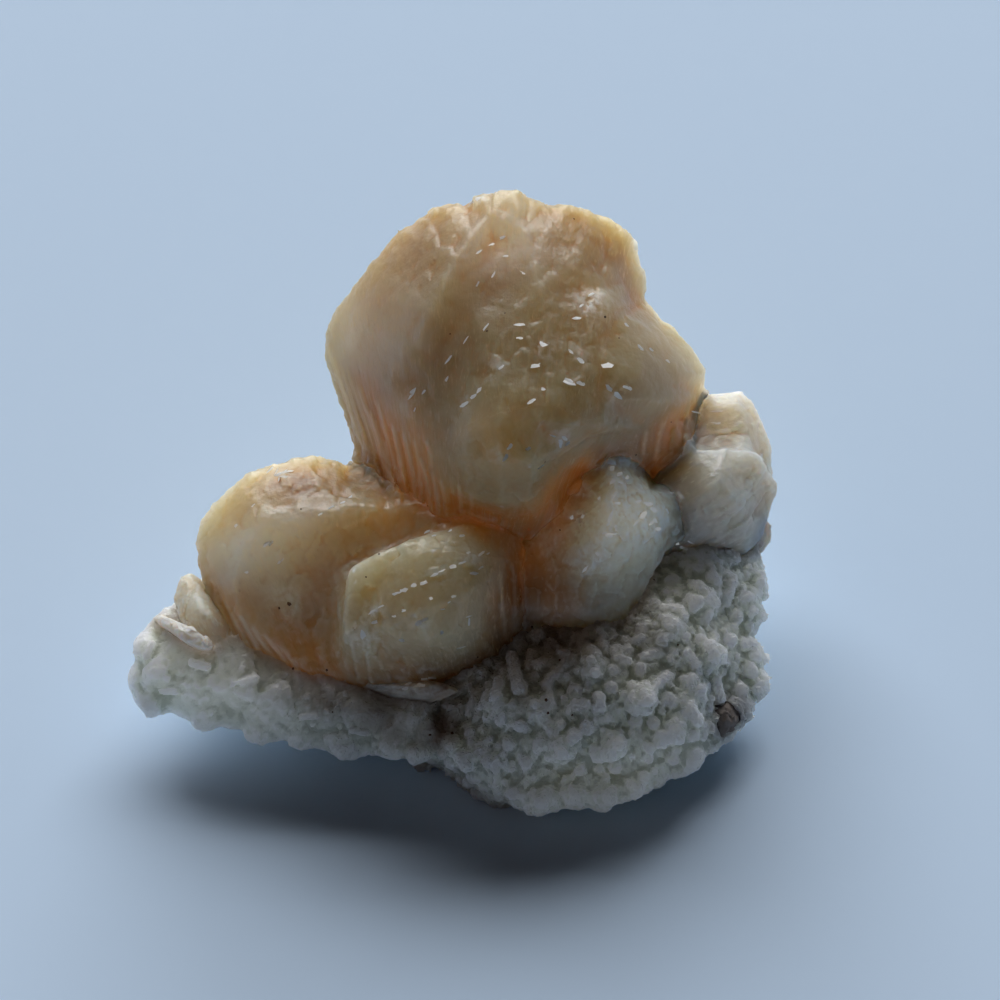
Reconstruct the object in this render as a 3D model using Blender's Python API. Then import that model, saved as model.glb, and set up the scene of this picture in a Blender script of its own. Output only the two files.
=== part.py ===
"""Stilbite cluster: sheaf-shaped peach crystals standing on a pale grey-green
druse-covered matrix, with a patch of dark basalt left on its right edge.

The specimen rests on a flat trimmed foot under the matrix.  +Z is up, -Y is
the front, and the origin is the middle of the foot's footprint on the bench.

Every crystal is described by the corners of its faces.  A corner is given
either on the layout plane, a plane tilted LAYOUT_TILT back from the bench, as
(steps right, steps down, millimetres out of the plane), or as ('w', x, y, z)
in millimetres from the origin.  Crystals are closed convex blocks of those
corners; blocks that grew into each other are fused, softened a little,
roughened, and then given clearance to the crystal or matrix beside them.
"""

import math

import bmesh
import bpy
from mathutils import Vector, noise

# ---------------------------------------------------------------- dimensions
MM = 0.001
LAYOUT_TILT = math.radians(45.0)      # tilt of the layout plane
LAYOUT_STEP = MM / 9.17               # one layout step at the plane itself
LAYOUT_REACH = 300.0 * MM             # steps shrink linearly to nothing here
LAYOUT_MIDDLE = Vector((5.0, 0.0, 22.0)) * MM
LAYOUT_ORIGIN_STEP = (500.0, 500.0)

CLEARANCE = 0.3 * MM                  # between neighbouring pieces
FOOT_LEVEL = 0.0                      # the trimmed foot lies on the bench
FUSE_VOXEL = 0.62 * MM                # grain of the fused blocks
SOFTEN_STEPS = 3                      # rounds of corner smoothing

# ------------------------------------------------------------------- colours
PEACH = (0.80, 0.56, 0.38)
PEACH_DEEP = (0.78, 0.50, 0.31)
PALE_PEACH = (0.82, 0.66, 0.52)
CREAM = (0.80, 0.72, 0.58)
FROST_WHITE = (0.80, 0.76, 0.70)
DRUSE_GREY = (0.55, 0.58, 0.54)
BASALT_BROWN = (0.25, 0.16, 0.12)

W = "w"

# The tall sheaf: a flat-sided fan with a ridge from its top down to a broad
# shoulder, a boss bulging from its front, a lobe on its right and the
# striated wedge under that lobe.
MAIN_CORE = [
    (323, 350, -2), (326, 325, -1), (335, 308, -.5), (366, 269, 0), (394, 234, 1),
    (433, 208, 2.5), (467, 206, 4.5), (498, 192, 6.5), (514, 191, 6.5),
    (566, 204, 4), (598, 214, 2), (624, 232, .5), (635, 246, -.5), (645, 274, -1.5),
    (645, 300, -1),
    (370, 352, 3.5), (388, 384, 5.5), (425, 431, 9), (434, 468, 9.5), (436, 510, 8),
    (425, 300, 7.5), (404, 348, 7.5), (455, 380, 12), (520, 345, 14.5),
    (560, 300, 11.5), (600, 330, 10.5), (600, 400, 13), (580, 440, 12.5), (500, 420, 15),
    (W, -8, 24, 36), (W, 10, 25, 38), (W, 3, 24, 45), (W, -13, 18, 33), (W, 17, 20, 34),
    (W, -9, 4, 14), (W, -2, -3, 13), (W, 5, -5, 13), (W, 13, 0, 13), (W, 12, 12, 13),
    (W, -5, 14, 13),
]
MAIN_BOSS = [
    (432, 458, 9.5), (440, 428, 11.5), (462, 403, 14), (487, 389, 16), (522, 386, 16.8),
    (562, 396, 16), (592, 415, 13.5), (600, 445, 11), (572, 462, 10.5), (564, 490, 9),
    (558, 517, 7), (527, 529, 6), (493, 519, 6.5), (456, 518, 7), (440, 500, 7.5),
    (500, 440, 18), (540, 440, 17.5), (470, 450, 15.5), (500, 492, 14), (535, 492, 13),
    (W, -1, 0, 18), (W, 11, 0, 18), (W, 5, 8, 20), (W, 5, -3, 20),
]
MAIN_LOBE = [
    (646, 298, -1), (662, 317, -1), (687, 337, -1), (709, 368, -2.5), (702, 389, -3),
    (693, 408, -3), (693, 450, -3), (662, 470, -1), (598, 298, 9.5), (588, 345, 12.5),
    (597, 400, 13), (607, 440, 10.5), (636, 455, 6), (640, 340, 9.5), (672, 362, 6.5),
    (682, 400, 4), (650, 430, 7),
    (W, 18, 8, 20), (W, 12, 12, 18), (W, 22, 16, 32), (W, 14, 2, 18),
]
MAIN_WEDGE = [
    (598, 440, 8), (640, 445, 4), (690, 420, -2), (695, 450, -3), (662, 471, -1),
    (640, 468, 1), (600, 470, 4), (575, 480, 6),
    (W, 12, 0, 14), (W, 20, 6, 15), (W, 18, 14, 16), (W, 8, 6, 14),
]

# The pair of sheaves at the left: a high ridged one behind, a lobed one in front.
LEFT_REAR = [
    (374, 478, -5), (345, 472, -2.5), (338, 461, -2), (316, 453, -1), (299, 458, 0),
    (277, 460, .5), (249, 470, .5), (232, 482, .5), (210, 505, .5), (198, 521, 0),
    (194, 540, 0), (198, 562, .5), (204, 583, 1.5), (215, 610, 2.5), (227, 633, 2),
    (242, 643, 2), (272, 556, 7.8), (320, 520, 8.5), (364, 486, 6), (410, 495, 4),
    (300, 620, 9.5), (345, 600, 10.5), (400, 560, 9.5), (430, 530, 7), (266, 659, 2),
    (300, 676, 2), (345, 690, 4), (330, 650, 8.5),
    (W, -18, 8, 10), (W, -25, 0, 9), (W, -8, 8, 9), (W, -5, 0, 9), (W, -20, -8, 8),
]
LEFT_FRONT = [
    (346, 603, 9), (350, 577, 9.5), (375, 557, 10.5), (405, 545, 11), (432, 534, 10.5),
    (480, 530, 9), (512, 545, 7), (531, 575, 6), (530, 610, 5.5), (514, 640, 5.5),
    (497, 657, 5.5), (478, 668, 6), (462, 690, 5.5), (400, 702, 5.5), (360, 688, 6.5),
    (345, 655, 8.5), (365, 610, 13.3), (400, 580, 14.8), (455, 570, 14.5),
    (480, 580, 13), (430, 622, 15), (470, 625, 12.5), (395, 655, 12.3), (440, 660, 10.5),
    (500, 600, 10),
    (W, -2, -2, 10), (W, 4, -6, 9), (W, -12, -8, 8),
]

# A thin pale blade lying along the foot of the left pair.
BLADE = [
    (328, 682, 4.5), (338, 697, 4.5), (372, 708, 5), (400, 714, 5.5), (440, 703, 8),
    (462, 690, 8.5), (444, 681, 9), (400, 686, 9), (350, 682, 7.5), (345, 678, 6),
    (W, -12, -12, 8), (W, -4, -14, 8),
]

# The frosted crystal right of the boss, and the brown root it stands in.
FROSTED = [
    (535, 545, 6), (549, 530, 7.5), (565, 510, 9), (580, 478, 8.5), (599, 462, 7.5),
    (616, 462, 7), (631, 472, 6), (660, 490, 4), (671, 506, 2.5), (679, 523, 1.5),
    (672, 537, 2), (655, 558, 3), (638, 571, 4), (600, 590, 5), (573, 600, 5),
    (548, 575, 6), (610, 480, 10.5), (625, 525, 11), (590, 545, 10.5), (657, 515, 7.5),
    (640, 548, 8), (600, 575, 8.5), (572, 560, 9),
    (W, 12, 0, 13), (W, 20, 2, 13), (W, 14, -6, 11),
]
FROSTED_ROOT = [
    (560, 455, 4), (600, 448, 5), (640, 452, 3), (665, 475, 1), (672, 520, 1),
    (655, 570, 3), (645, 595, 4), (624, 622, 5), (594, 628, 6), (545, 622, 6),
    (512, 640, 4), (505, 600, 4), (520, 560, 5), (545, 520, 6), (580, 560, 8.5),
    (560, 600, 8), (620, 590, 7.5),
    (W, 12, 6, 12), (W, 20, 4, 12), (W, 6, -6, 9), (W, 16, -8, 9),
]

# The pair at the rear right: a straight cream prism over a rounded fan.
REAR_UPPER = [
    (690, 394, -6), (738, 392, -7), (751, 403, -8), (765, 425, -9), (772, 445, -10),
    (773, 465, -10), (769, 490, -9), (745, 458, -3), (700, 455, -2), (748, 430, -4),
    (738, 404, -4.5), (690, 404, -4), (690, 440, -3),
    (W, 20, 16, 14), (W, 31, 17, 14), (W, 31, 8, 12), (W, 20, 6, 12),
]
REAR_LOWER = [
    (660, 470, 0), (690, 452, 1.5), (715, 451, 1), (740, 455, -.5), (757, 468, -2.5),
    (770, 490, -6), (769, 515, -6.5), (764, 535, -6), (748, 552, -4), (715, 545, -.5),
    (690, 533, 1.5), (672, 510, 2), (705, 495, 4.5), (740, 505, 2), (720, 480, 4),
    (W, 18, 4, 12), (W, 30, 8, 12), (W, 30, 2, 10), (W, 20, -2, 12),
]

# Small crystals round the edge of the matrix.
REAR_TIP = [
    (346, 478, -11), (350, 461, -12), (357, 455, -13), (370, 462, -14),
    (380, 480, -13), (365, 475, -10), (W, -14, 14, 9), (W, -6, 15, 9), (W, -10, 8, 9),
]
EDGE_SHEAF = [
    (172, 607, 1), (173, 590, .5), (180, 574, 0), (196, 571, 0), (206, 583, 1.5),
    (219, 605, 3), (236, 628, 3), (238, 645, 3), (215, 650, 3.5), (190, 640, 3.5),
    (178, 622, 3), (198, 610, 5.5), (214, 622, 5.5), (W, -28, -3, 9), (W, -23, -8, 8),
]
EDGE_BLADE = [
    (150, 620, 3), (157, 611, 2.5), (168, 612, 2.5), (176, 618, 4.5), (195, 628, 6),
    (214, 637, 6.5), (217, 643, 6), (205, 650, 6.5), (190, 648, 6.5), (178, 637, 6),
    (160, 625, 5), (W, -29, -10, 10), (W, -26, -12, 9), (W, -32, -8, 10),
]
RIGHT_TIP = [
    (757, 548, -6), (755, 528, -5), (766, 513, -6.5), (775, 528, -8), (776, 543, -8),
    (768, 556, -7), (W, 27, 2, 11), (W, 30, 6, 12),
]

# The matrix: a thin wing reaching out to the left and a thick chunk at the
# right that carries the weight.
WING = [
    (133, 673, 0), (137, 652, .5), (141, 634, .5), (151, 619, .5), (168, 612, .5),
    (190, 640, 4), (135, 693, 0), (148, 707, 0), (165, 711, .5), (184, 719, 1),
    (213, 725, 1), (233, 727, 1), (246, 737, 1.5), (266, 743, 2), (294, 743, 2.5),
    (316, 744, 3), (328, 754, 3.5), (353, 754, 4), (384, 751, 5), (406, 751, 5.5),
    (426, 761, 6), (434, 745, 7), (440, 735, 7.5), (150, 672, 4), (250, 700, 6),
    (350, 722, 7), (430, 722, 8.5), (300, 730, 5),
    (W, -25, 0, 12), (W, -10, 8, 14), (W, -27, 2, 8), (W, -14, 10, 5), (W, 0, -5, 4),
    (W, 0, 5, 14), (W, -24, -6, 8),
]
CHUNK = [
    (455, 734, 7.5), (443, 743, 7.5), (448, 755, 8), (465, 768, 8), (480, 768, 8),
    (502, 766, 8), (510, 782, 8), (520, 798, 7.5), (533, 809, 7.5), (553, 807, 7),
    (563, 800, 7.5), (579, 801, 7), (599, 807, 6.5), (617, 803, 6), (642, 786, 5.5),
    (668, 773, 4.5), (704, 760, 3), (721, 746, 2), (755, 705, -2), (763, 698, -3),
    (763, 660, -4), (757, 640, -4.5), (757, 616, -5), (762, 588, -6), (762, 571, -7),
    (755, 545, -6), (700, 545, -1), (640, 585, 3), (560, 612, 5), (480, 660, 7),
    (520, 705, 10.5), (600, 722, 10), (680, 705, 7), (705, 640, 4), (640, 650, 8),
    (560, 660, 9),
    (W, 28, 10, 10), (W, 18, 16, 12), (W, -5, 16, 12), (W, -14, 11, 10),
    (W, -13, -9, -1.5), (W, -12, 10, -1.5), (W, 18, 13, -1.5), (W, 25, -4, -1.5),
    (W, 17, -21, -1.5), (W, 4, -23, -1.5), (W, -4, -18, -1.5),
]

# The patch of brown basalt still stuck to the matrix at its right edge.
BASALT = [
    (718, 748, 3), (735, 740, 2.5), (755, 725, 0), (758, 706, -1.5), (744, 698, 1),
    (726, 708, 4), (722, 722, 4.5), (738, 722, 3.5), (W, 24, -8, 1), (W, 27, -8, 4),
    (W, 22, -14, 1), (W, 20, -10, 4),
]

# name, blocks, colour, roughness, bump height, bump size, triangle budget
PIECES = [
    ("main_sheaf", [MAIN_CORE, MAIN_BOSS, MAIN_LOBE, MAIN_WEDGE], PEACH, 0.42, 0.30, 4.0, 1150),
    ("left_sheaves", [LEFT_REAR, LEFT_FRONT], PEACH_DEEP, 0.42, 0.28, 3.6, 1000),
    ("frosted_sheaf", [FROSTED, FROSTED_ROOT], FROST_WHITE, 0.45, 0.20, 2.6, 460),
    ("rear_right_sheaf", [REAR_UPPER, REAR_LOWER], CREAM, 0.42, 0.15, 3.0, 460),
    ("pale_blade", [BLADE], PALE_PEACH, 0.45, 0.08, 2.0, 130),
    ("rear_tip", [REAR_TIP], CREAM, 0.40, 0.05, 2.0, 90),
    ("edge_sheaf", [EDGE_SHEAF], PALE_PEACH, 0.42, 0.08, 2.0, 130),
    ("edge_blade", [EDGE_BLADE], FROST_WHITE, 0.40, 0.06, 2.0, 110),
    ("right_tip", [RIGHT_TIP], FROST_WHITE, 0.40, 0.05, 2.0, 80),
    ("basalt_remnant", [BASALT], BASALT_BROWN, 0.80, 0.20, 1.6, 150),
    ("druse_matrix", [WING, CHUNK], DRUSE_GREY, 0.60, 0.55, 2.4, 2100),
]

# Each piece is relieved where the pieces named beside it reach into it.
RELIEF = {
    "left_sheaves": ["main_sheaf"],
    "frosted_sheaf": ["main_sheaf", "left_sheaves"],
    "rear_right_sheaf": ["main_sheaf", "frosted_sheaf", "right_tip"],
    "pale_blade": ["left_sheaves"],
    "rear_tip": ["main_sheaf", "left_sheaves"],
    "edge_sheaf": ["left_sheaves"],
    "edge_blade": ["edge_sheaf", "left_sheaves"],
    "druse_matrix": [
        "main_sheaf", "left_sheaves", "frosted_sheaf", "rear_right_sheaf", "pale_blade",
        "rear_tip", "edge_sheaf", "edge_blade", "right_tip", "basalt_remnant",
    ],
}


# ------------------------------------------------------------------ geometry
def corner(entry):
    """A corner of a block in metres, from the layout plane or from the origin."""
    if entry[0] == W:
        return Vector(entry[1:]) * MM
    right, down, out = entry[0], entry[1], entry[2] * MM
    step = LAYOUT_STEP * (1.0 - out / LAYOUT_REACH)
    a = (right - LAYOUT_ORIGIN_STEP[0]) * step
    b = (LAYOUT_ORIGIN_STEP[1] - down) * step
    s, c = math.sin(LAYOUT_TILT), math.cos(LAYOUT_TILT)
    return LAYOUT_MIDDLE + Vector((a, b * s - out * c, b * c + out * s))


def add_block(bm, corners):
    """One convex crystal block added to a bmesh."""
    verts = [bm.verts.new(corner(entry)) for entry in corners]
    hull = bmesh.ops.convex_hull(bm, input=verts, use_existing_faces=False)
    spare = {v for v in hull["geom_interior"] + hull["geom_unused"] if isinstance(v, bmesh.types.BMVert)}
    if spare:
        bmesh.ops.delete(bm, geom=list(spare), context="VERTS")


def link(name, mesh):
    obj = bpy.data.objects.new(name, mesh)
    bpy.context.scene.collection.objects.link(obj)
    return obj


def settle(obj):
    """Turn an object's modifiers into its mesh."""
    graph = bpy.context.evaluated_depsgraph_get()
    mesh = bpy.data.meshes.new_from_object(obj.evaluated_get(graph))
    obj.modifiers.clear()
    old, obj.data = obj.data, mesh
    mesh.name = obj.name
    bpy.data.meshes.remove(old)


def largest_shell(obj):
    """Drop loose chips and keep the one big closed shell, triangulated."""
    bm = bmesh.new()
    bm.from_mesh(obj.data)
    seen, shells = set(), []
    for start in bm.faces:
        if start in seen:
            continue
        shell, front = [], [start]
        seen.add(start)
        while front:
            face = front.pop()
            shell.append(face)
            for edge in face.edges:
                for other in edge.link_faces:
                    if other not in seen:
                        seen.add(other)
                        front.append(other)
        shells.append(shell)
    shells.sort(key=len)
    for shell in shells[:-1]:
        bmesh.ops.delete(bm, geom=shell, context="FACES")
    loose = [v for v in bm.verts if not v.link_faces]
    bmesh.ops.delete(bm, geom=loose, context="VERTS")
    bmesh.ops.triangulate(bm, faces=bm.faces)
    bm.to_mesh(obj.data)
    bm.free()


def roughen(obj, height, size, seed):
    """Push the surface in and out by a gentle noise of the given size."""
    bm = bmesh.new()
    bm.from_mesh(obj.data)
    bm.normal_update()
    shift = Vector((seed * 7.3, seed * 3.1, seed * 5.7))
    pushed = []
    for v in bm.verts:
        p = v.co / (size * MM) + shift
        pushed.append(v.co + v.normal * (height * MM * (noise.noise(p) + 0.5 * noise.noise(p * 2.1))))
    for v, co in zip(bm.verts, pushed):
        v.co = co
    bm.to_mesh(obj.data)
    bm.free()


def fused(name, blocks, height, size, budget, seed):
    """Blocks grown into one crystal: merged, softened, roughened, thinned out."""
    bm = bmesh.new()
    for corners in blocks:
        add_block(bm, corners)
    bmesh.ops.recalc_face_normals(bm, faces=bm.faces)
    mesh = bpy.data.meshes.new(name)
    bm.to_mesh(mesh)
    bm.free()
    obj = link(name, mesh)
    grain = min(FUSE_VOXEL, max(obj.dimensions) / 16.0)
    remesh = obj.modifiers.new("fuse", "REMESH")
    remesh.mode = "VOXEL"
    remesh.voxel_size = grain
    soften = obj.modifiers.new("soften", "SMOOTH")
    soften.factor = 0.5
    soften.iterations = SOFTEN_STEPS
    settle(obj)
    roughen(obj, height, size, seed)
    thin = obj.modifiers.new("thin", "DECIMATE")
    thin.decimate_type = "COLLAPSE"
    thin.ratio = min(1.0, budget / (2.0 * len(obj.data.polygons)))
    settle(obj)
    largest_shell(obj)
    return obj


def grown_copy(obj, amount):
    """A guide shaped like a piece but larger all round by the clearance."""
    bm = bmesh.new()
    bm.from_mesh(obj.data)
    bm.normal_update()
    moved = [v.co + v.normal * (amount * v.calc_shell_factor()) for v in bm.verts]
    for v, co in zip(bm.verts, moved):
        v.co = co
    mesh = bpy.data.meshes.new(obj.name + "_guide")
    bm.to_mesh(mesh)
    bm.free()
    guide = link(obj.name + "_guide", mesh)
    guide.hide_render = True
    guide.display_type = "WIRE"
    return guide


def relieve(obj, guide):
    """Cut a neighbour's grown shape out of a piece."""
    cut = obj.modifiers.new("relief", "BOOLEAN")
    cut.operation = "DIFFERENCE"
    cut.object = guide
    settle(obj)
    largest_shell(obj)


def discard(guide):
    mesh = guide.data
    bpy.data.objects.remove(guide)
    bpy.data.meshes.remove(mesh)


def trim_foot(obj):
    """Saw the piece off flat at the level of its foot."""
    bm = bmesh.new()
    bmesh.ops.create_cube(bm, size=200 * MM)
    bmesh.ops.translate(bm, vec=(0, 0, FOOT_LEVEL - 100 * MM), verts=bm.verts)
    mesh = bpy.data.meshes.new("bench_guide")
    bm.to_mesh(mesh)
    bm.free()
    guide = link("bench_guide", mesh)
    guide.hide_render = True
    guide.display_type = "WIRE"
    cut = obj.modifiers.new("trim", "BOOLEAN")
    cut.operation = "DIFFERENCE"
    cut.object = guide
    settle(obj)
    discard(guide)
    largest_shell(obj)


def tidy(obj):
    """Close up the slivers that cutting leaves."""
    bm = bmesh.new()
    bm.from_mesh(obj.data)
    bmesh.ops.dissolve_degenerate(bm, dist=0.004 * MM, edges=bm.edges)
    bmesh.ops.triangulate(bm, faces=bm.faces)
    bm.to_mesh(obj.data)
    bm.free()


def finish_material(obj, colour, roughness):
    material = bpy.data.materials.new(obj.name)
    material.use_nodes = True
    shader = material.node_tree.nodes["Principled BSDF"]
    shader.inputs["Base Color"].default_value = (*colour, 1.0)
    shader.inputs["Roughness"].default_value = roughness
    shader.inputs["Metallic"].default_value = 0.0
    obj.data.materials.clear()
    obj.data.materials.append(material)
    obj.data.shade_smooth()
    obj.data.set_sharp_from_angle(angle=math.radians(32))


def main():
    for obj in list(bpy.data.objects):
        bpy.data.objects.remove(obj)
    made = {}
    for seed, (name, blocks, colour, roughness, height, size, budget) in enumerate(PIECES, 1):
        made[name] = fused(name, blocks, height, size, budget, seed)
    guides = {name: grown_copy(obj, CLEARANCE * 1.15) for name, obj in made.items()}
    for name, neighbours in RELIEF.items():
        for neighbour in neighbours:
            relieve(made[name], guides[neighbour])
    for guide in guides.values():
        discard(guide)
    trim_foot(made["druse_matrix"])
    cluster = bpy.data.objects.new("stilbite_cluster", None)
    bpy.context.scene.collection.objects.link(cluster)
    for name, blocks, colour, roughness, height, size, budget in PIECES:
        tidy(made[name])
        finish_material(made[name], colour, roughness)
        made[name].parent = cluster


main()
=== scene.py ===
"""Looks of the stilbite cluster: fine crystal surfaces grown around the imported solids.

Every crystal is a distance field of faceted blocks, split into the thin blades
that stilbite grows in.  The fields are meshed here, in millimetres, and stand
for the plain CAD nodes.  The druse on the matrix is made of small crystals of
its own, set on the surface, and so are the bright ledges of the sheaves.
"""
import math

import bmesh
import bpy
import numpy as np
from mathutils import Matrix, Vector
from mathutils.bvhtree import BVHTree
from mathutils.geometry import delaunay_2d_cdt


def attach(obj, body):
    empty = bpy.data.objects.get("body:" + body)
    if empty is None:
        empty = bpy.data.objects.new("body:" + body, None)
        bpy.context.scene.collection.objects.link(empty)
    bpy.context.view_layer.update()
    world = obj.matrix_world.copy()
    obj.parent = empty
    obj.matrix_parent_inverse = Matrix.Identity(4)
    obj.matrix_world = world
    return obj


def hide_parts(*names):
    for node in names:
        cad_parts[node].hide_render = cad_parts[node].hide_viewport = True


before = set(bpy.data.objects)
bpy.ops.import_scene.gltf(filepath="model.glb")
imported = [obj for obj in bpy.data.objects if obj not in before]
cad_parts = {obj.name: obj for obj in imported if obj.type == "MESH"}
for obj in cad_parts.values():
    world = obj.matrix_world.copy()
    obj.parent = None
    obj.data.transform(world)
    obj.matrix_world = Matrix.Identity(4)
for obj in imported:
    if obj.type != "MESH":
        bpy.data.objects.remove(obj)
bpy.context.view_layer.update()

F = np.float32
W = "w"

# ------------------------------------------------------------ layout frame
TILT = math.radians(45.0)
REACH = 300.0                       # mm from the layout's middle to its eye
STEP = 1.0 / 9.17                   # mm per layout step at the middle plane
MID = np.array([5.0, 0.0, 22.0])
AX_U = np.array([1.0, 0.0, 0.0])
AX_V = np.array([0.0, math.sin(TILT), math.cos(TILT)])
AX_W = np.array([0.0, -math.cos(TILT), math.sin(TILT)])
EYE = MID + AX_W * REACH


def at(gx, gy, w):
    """Layout steps right and down, mm towards the eye -> mm in the row frame."""
    k = (1.0 - w / REACH) * STEP
    return MID + AX_U * ((gx - 500) * k) + AX_V * ((500 - gy) * k) + AX_W * w


def layout_of(p):
    """The row frame back to layout steps and mm towards the eye."""
    q = p - MID.astype(p.dtype)
    w = q @ AX_W.astype(p.dtype)
    k = (1 - w / p.dtype.type(REACH)) * p.dtype.type(STEP)
    return 500 + (q @ AX_U.astype(p.dtype)) / k, 500 - (q @ AX_V.astype(p.dtype)) / k, w


class Fan:
    """Grid coordinates whose cells grow with the distance behind w0."""

    def __init__(self, w0, a=.03):
        self.w0, self.a = w0, a

    def to(self, p):
        q = p - MID
        w = q @ AX_W
        s = 1 + self.a * (self.w0 - w)
        return np.stack([q @ AX_U / s, q @ AX_V / s, -np.log(s) / self.a], -1)

    def back(self, g):
        s = self.scale(g)
        w = self.w0 - (s - 1) / self.a
        return MID + AX_U * (g[..., :1] * s[..., None]) + AX_V * (g[..., 1:2] * s[..., None]) + AX_W * w[..., None]

    def scale(self, g):
        return np.exp(-self.a * g[..., 2])


def points(rows):
    return np.array([at(*r) if r[0] != W else np.array(r[1:], float) for r in rows])


# ------------------------------------------------------------------- noise
def hashed(ix, iy, iz, seed):
    n = (ix.astype(np.uint32) * np.uint32(374761393) + iy.astype(np.uint32) * np.uint32(668265263)
         + iz.astype(np.uint32) * np.uint32(2147483629)
         + np.uint32((seed * 974634777 + 12345) & 0xFFFFFFFF))
    n ^= n >> np.uint32(13)
    n *= np.uint32(1274126177)
    n ^= n >> np.uint32(16)
    n *= np.uint32(2246822519)
    n ^= n >> np.uint32(15)
    return n


def vnoise(p, seed=0):
    """Smooth value noise in -1..1."""
    fl = np.floor(p)
    i = fl.astype(np.int64)
    f = (p - fl).astype(F)
    f = f * f * f * (f * (f * 6 - 15) + 10)
    out = np.zeros(len(p), F)
    wx, wy, wz = ((1 - f[:, k], f[:, k]) for k in range(3))
    for a in (0, 1):
        for b in (0, 1):
            wab = wx[a] * wy[b]
            for c in (0, 1):
                h = hashed(i[:, 0] + a, i[:, 1] + b, i[:, 2] + c, seed)
                out += wab * wz[c] * ((h & np.uint32(0xFFFF)).astype(F) * F(2 / 65535.0) - 1)
    return out


def fbm(p, seed=0, octaves=3, gain=0.5):
    s = np.zeros(len(p), F)
    amp, tot = 1.0, 0.0
    for o in range(octaves):
        s += F(amp) * vnoise(p * (2.03 ** o), seed + 17 * o)
        tot += amp
        amp *= gain
    return s / F(tot)


def cells2(x, y, seed=0, jitter=0.85):
    """Flat cells: distance to the nearest centre and to the second nearest,
    the nearest one's hash, and the way to it."""
    i, j = np.floor(x).astype(np.int64), np.floor(y).astype(np.int64)
    n = len(x)
    d1, d2 = np.full(n, 9, F), np.full(n, 9, F)
    hid = np.zeros(n, np.uint32)
    ox, oy = np.zeros(n, F), np.zeros(n, F)
    z = np.zeros(n, np.int64)
    for a in (-1, 0, 1):
        for b in (-1, 0, 1):
            h = hashed(i + a, j + b, z, seed)
            px = (h & np.uint32(1023)).astype(F) / 1023
            py = ((h >> np.uint32(10)) & np.uint32(1023)).astype(F) / 1023
            dx = (i + a + .5 + (px - .5) * jitter - x).astype(F)
            dy = (j + b + .5 + (py - .5) * jitter - y).astype(F)
            d = np.sqrt(dx * dx + dy * dy)
            near = d < d1
            d2 = np.where(near, d1, np.minimum(d2, d))
            hid = np.where(near, h, hid)
            ox, oy = np.where(near, dx, ox), np.where(near, dy, oy)
            d1 = np.where(near, d, d1)
    return d1, d2, hid, ox, oy


def cells3(p, seed=0, jitter=0.9):
    i = np.floor(p).astype(np.int64)
    n = len(p)
    d1, d2 = np.full(n, 9, F), np.full(n, 9, F)
    hid = np.zeros(n, np.uint32)
    off = np.zeros((n, 3), F)
    for a in (-1, 0, 1):
        for b in (-1, 0, 1):
            for c in (-1, 0, 1):
                q0, q1, q2 = i[:, 0] + a, i[:, 1] + b, i[:, 2] + c
                h = hashed(q0, q1, q2, seed)
                dx = q0 + ((h & np.uint32(1023)).astype(F) / 1023 - .5) * jitter + .5 - p[:, 0]
                dy = q1 + (((h >> np.uint32(10)) & np.uint32(1023)).astype(F) / 1023 - .5) * jitter + .5 - p[:, 1]
                dz = q2 + (((h >> np.uint32(20)) & np.uint32(1023)).astype(F) / 1023 - .5) * jitter + .5 - p[:, 2]
                d = np.sqrt(dx * dx + dy * dy + dz * dz).astype(F)
                near = d < d1
                d2 = np.where(near, d1, np.minimum(d2, d))
                hid = np.where(near, h, hid)
                d1 = np.where(near, d, d1)
                off[near] = np.stack([dx[near], dy[near], dz[near]], 1)
    return d1, d2, hid, off


def unit(h, shift=0):
    """0..1 from a hash."""
    return (((h >> np.uint32(shift)) & np.uint32(255)).astype(F)) / F(255)


def step01(x, a, b):
    t = np.clip((x - a) / (b - a), 0, 1)
    return t * t * (3 - 2 * t)


def smin(a, b, k):
    h = np.maximum(k - np.abs(a - b), 0)
    return np.minimum(a, b) - h * h * F(0.25 / k)


def smax(a, b, k):
    h = np.maximum(k - np.abs(a - b), 0)
    return np.maximum(a, b) + h * h * F(0.25 / k)


def blur(a, r, times=2):
    """Box blur of a grid, r cells to each side."""
    for _ in range(times):
        for ax in (0, 1):
            pad = [(0, 0), (0, 0)]
            pad[ax] = (r + 1, r)
            c = np.cumsum(np.pad(a, pad, mode="edge"), axis=ax)
            n = a.shape[ax]
            hi = np.take(c, np.arange(2 * r + 1, 2 * r + 1 + n), axis=ax)
            a = (hi - np.take(c, np.arange(0, n), axis=ax)) / (2 * r + 1)
    return a


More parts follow.
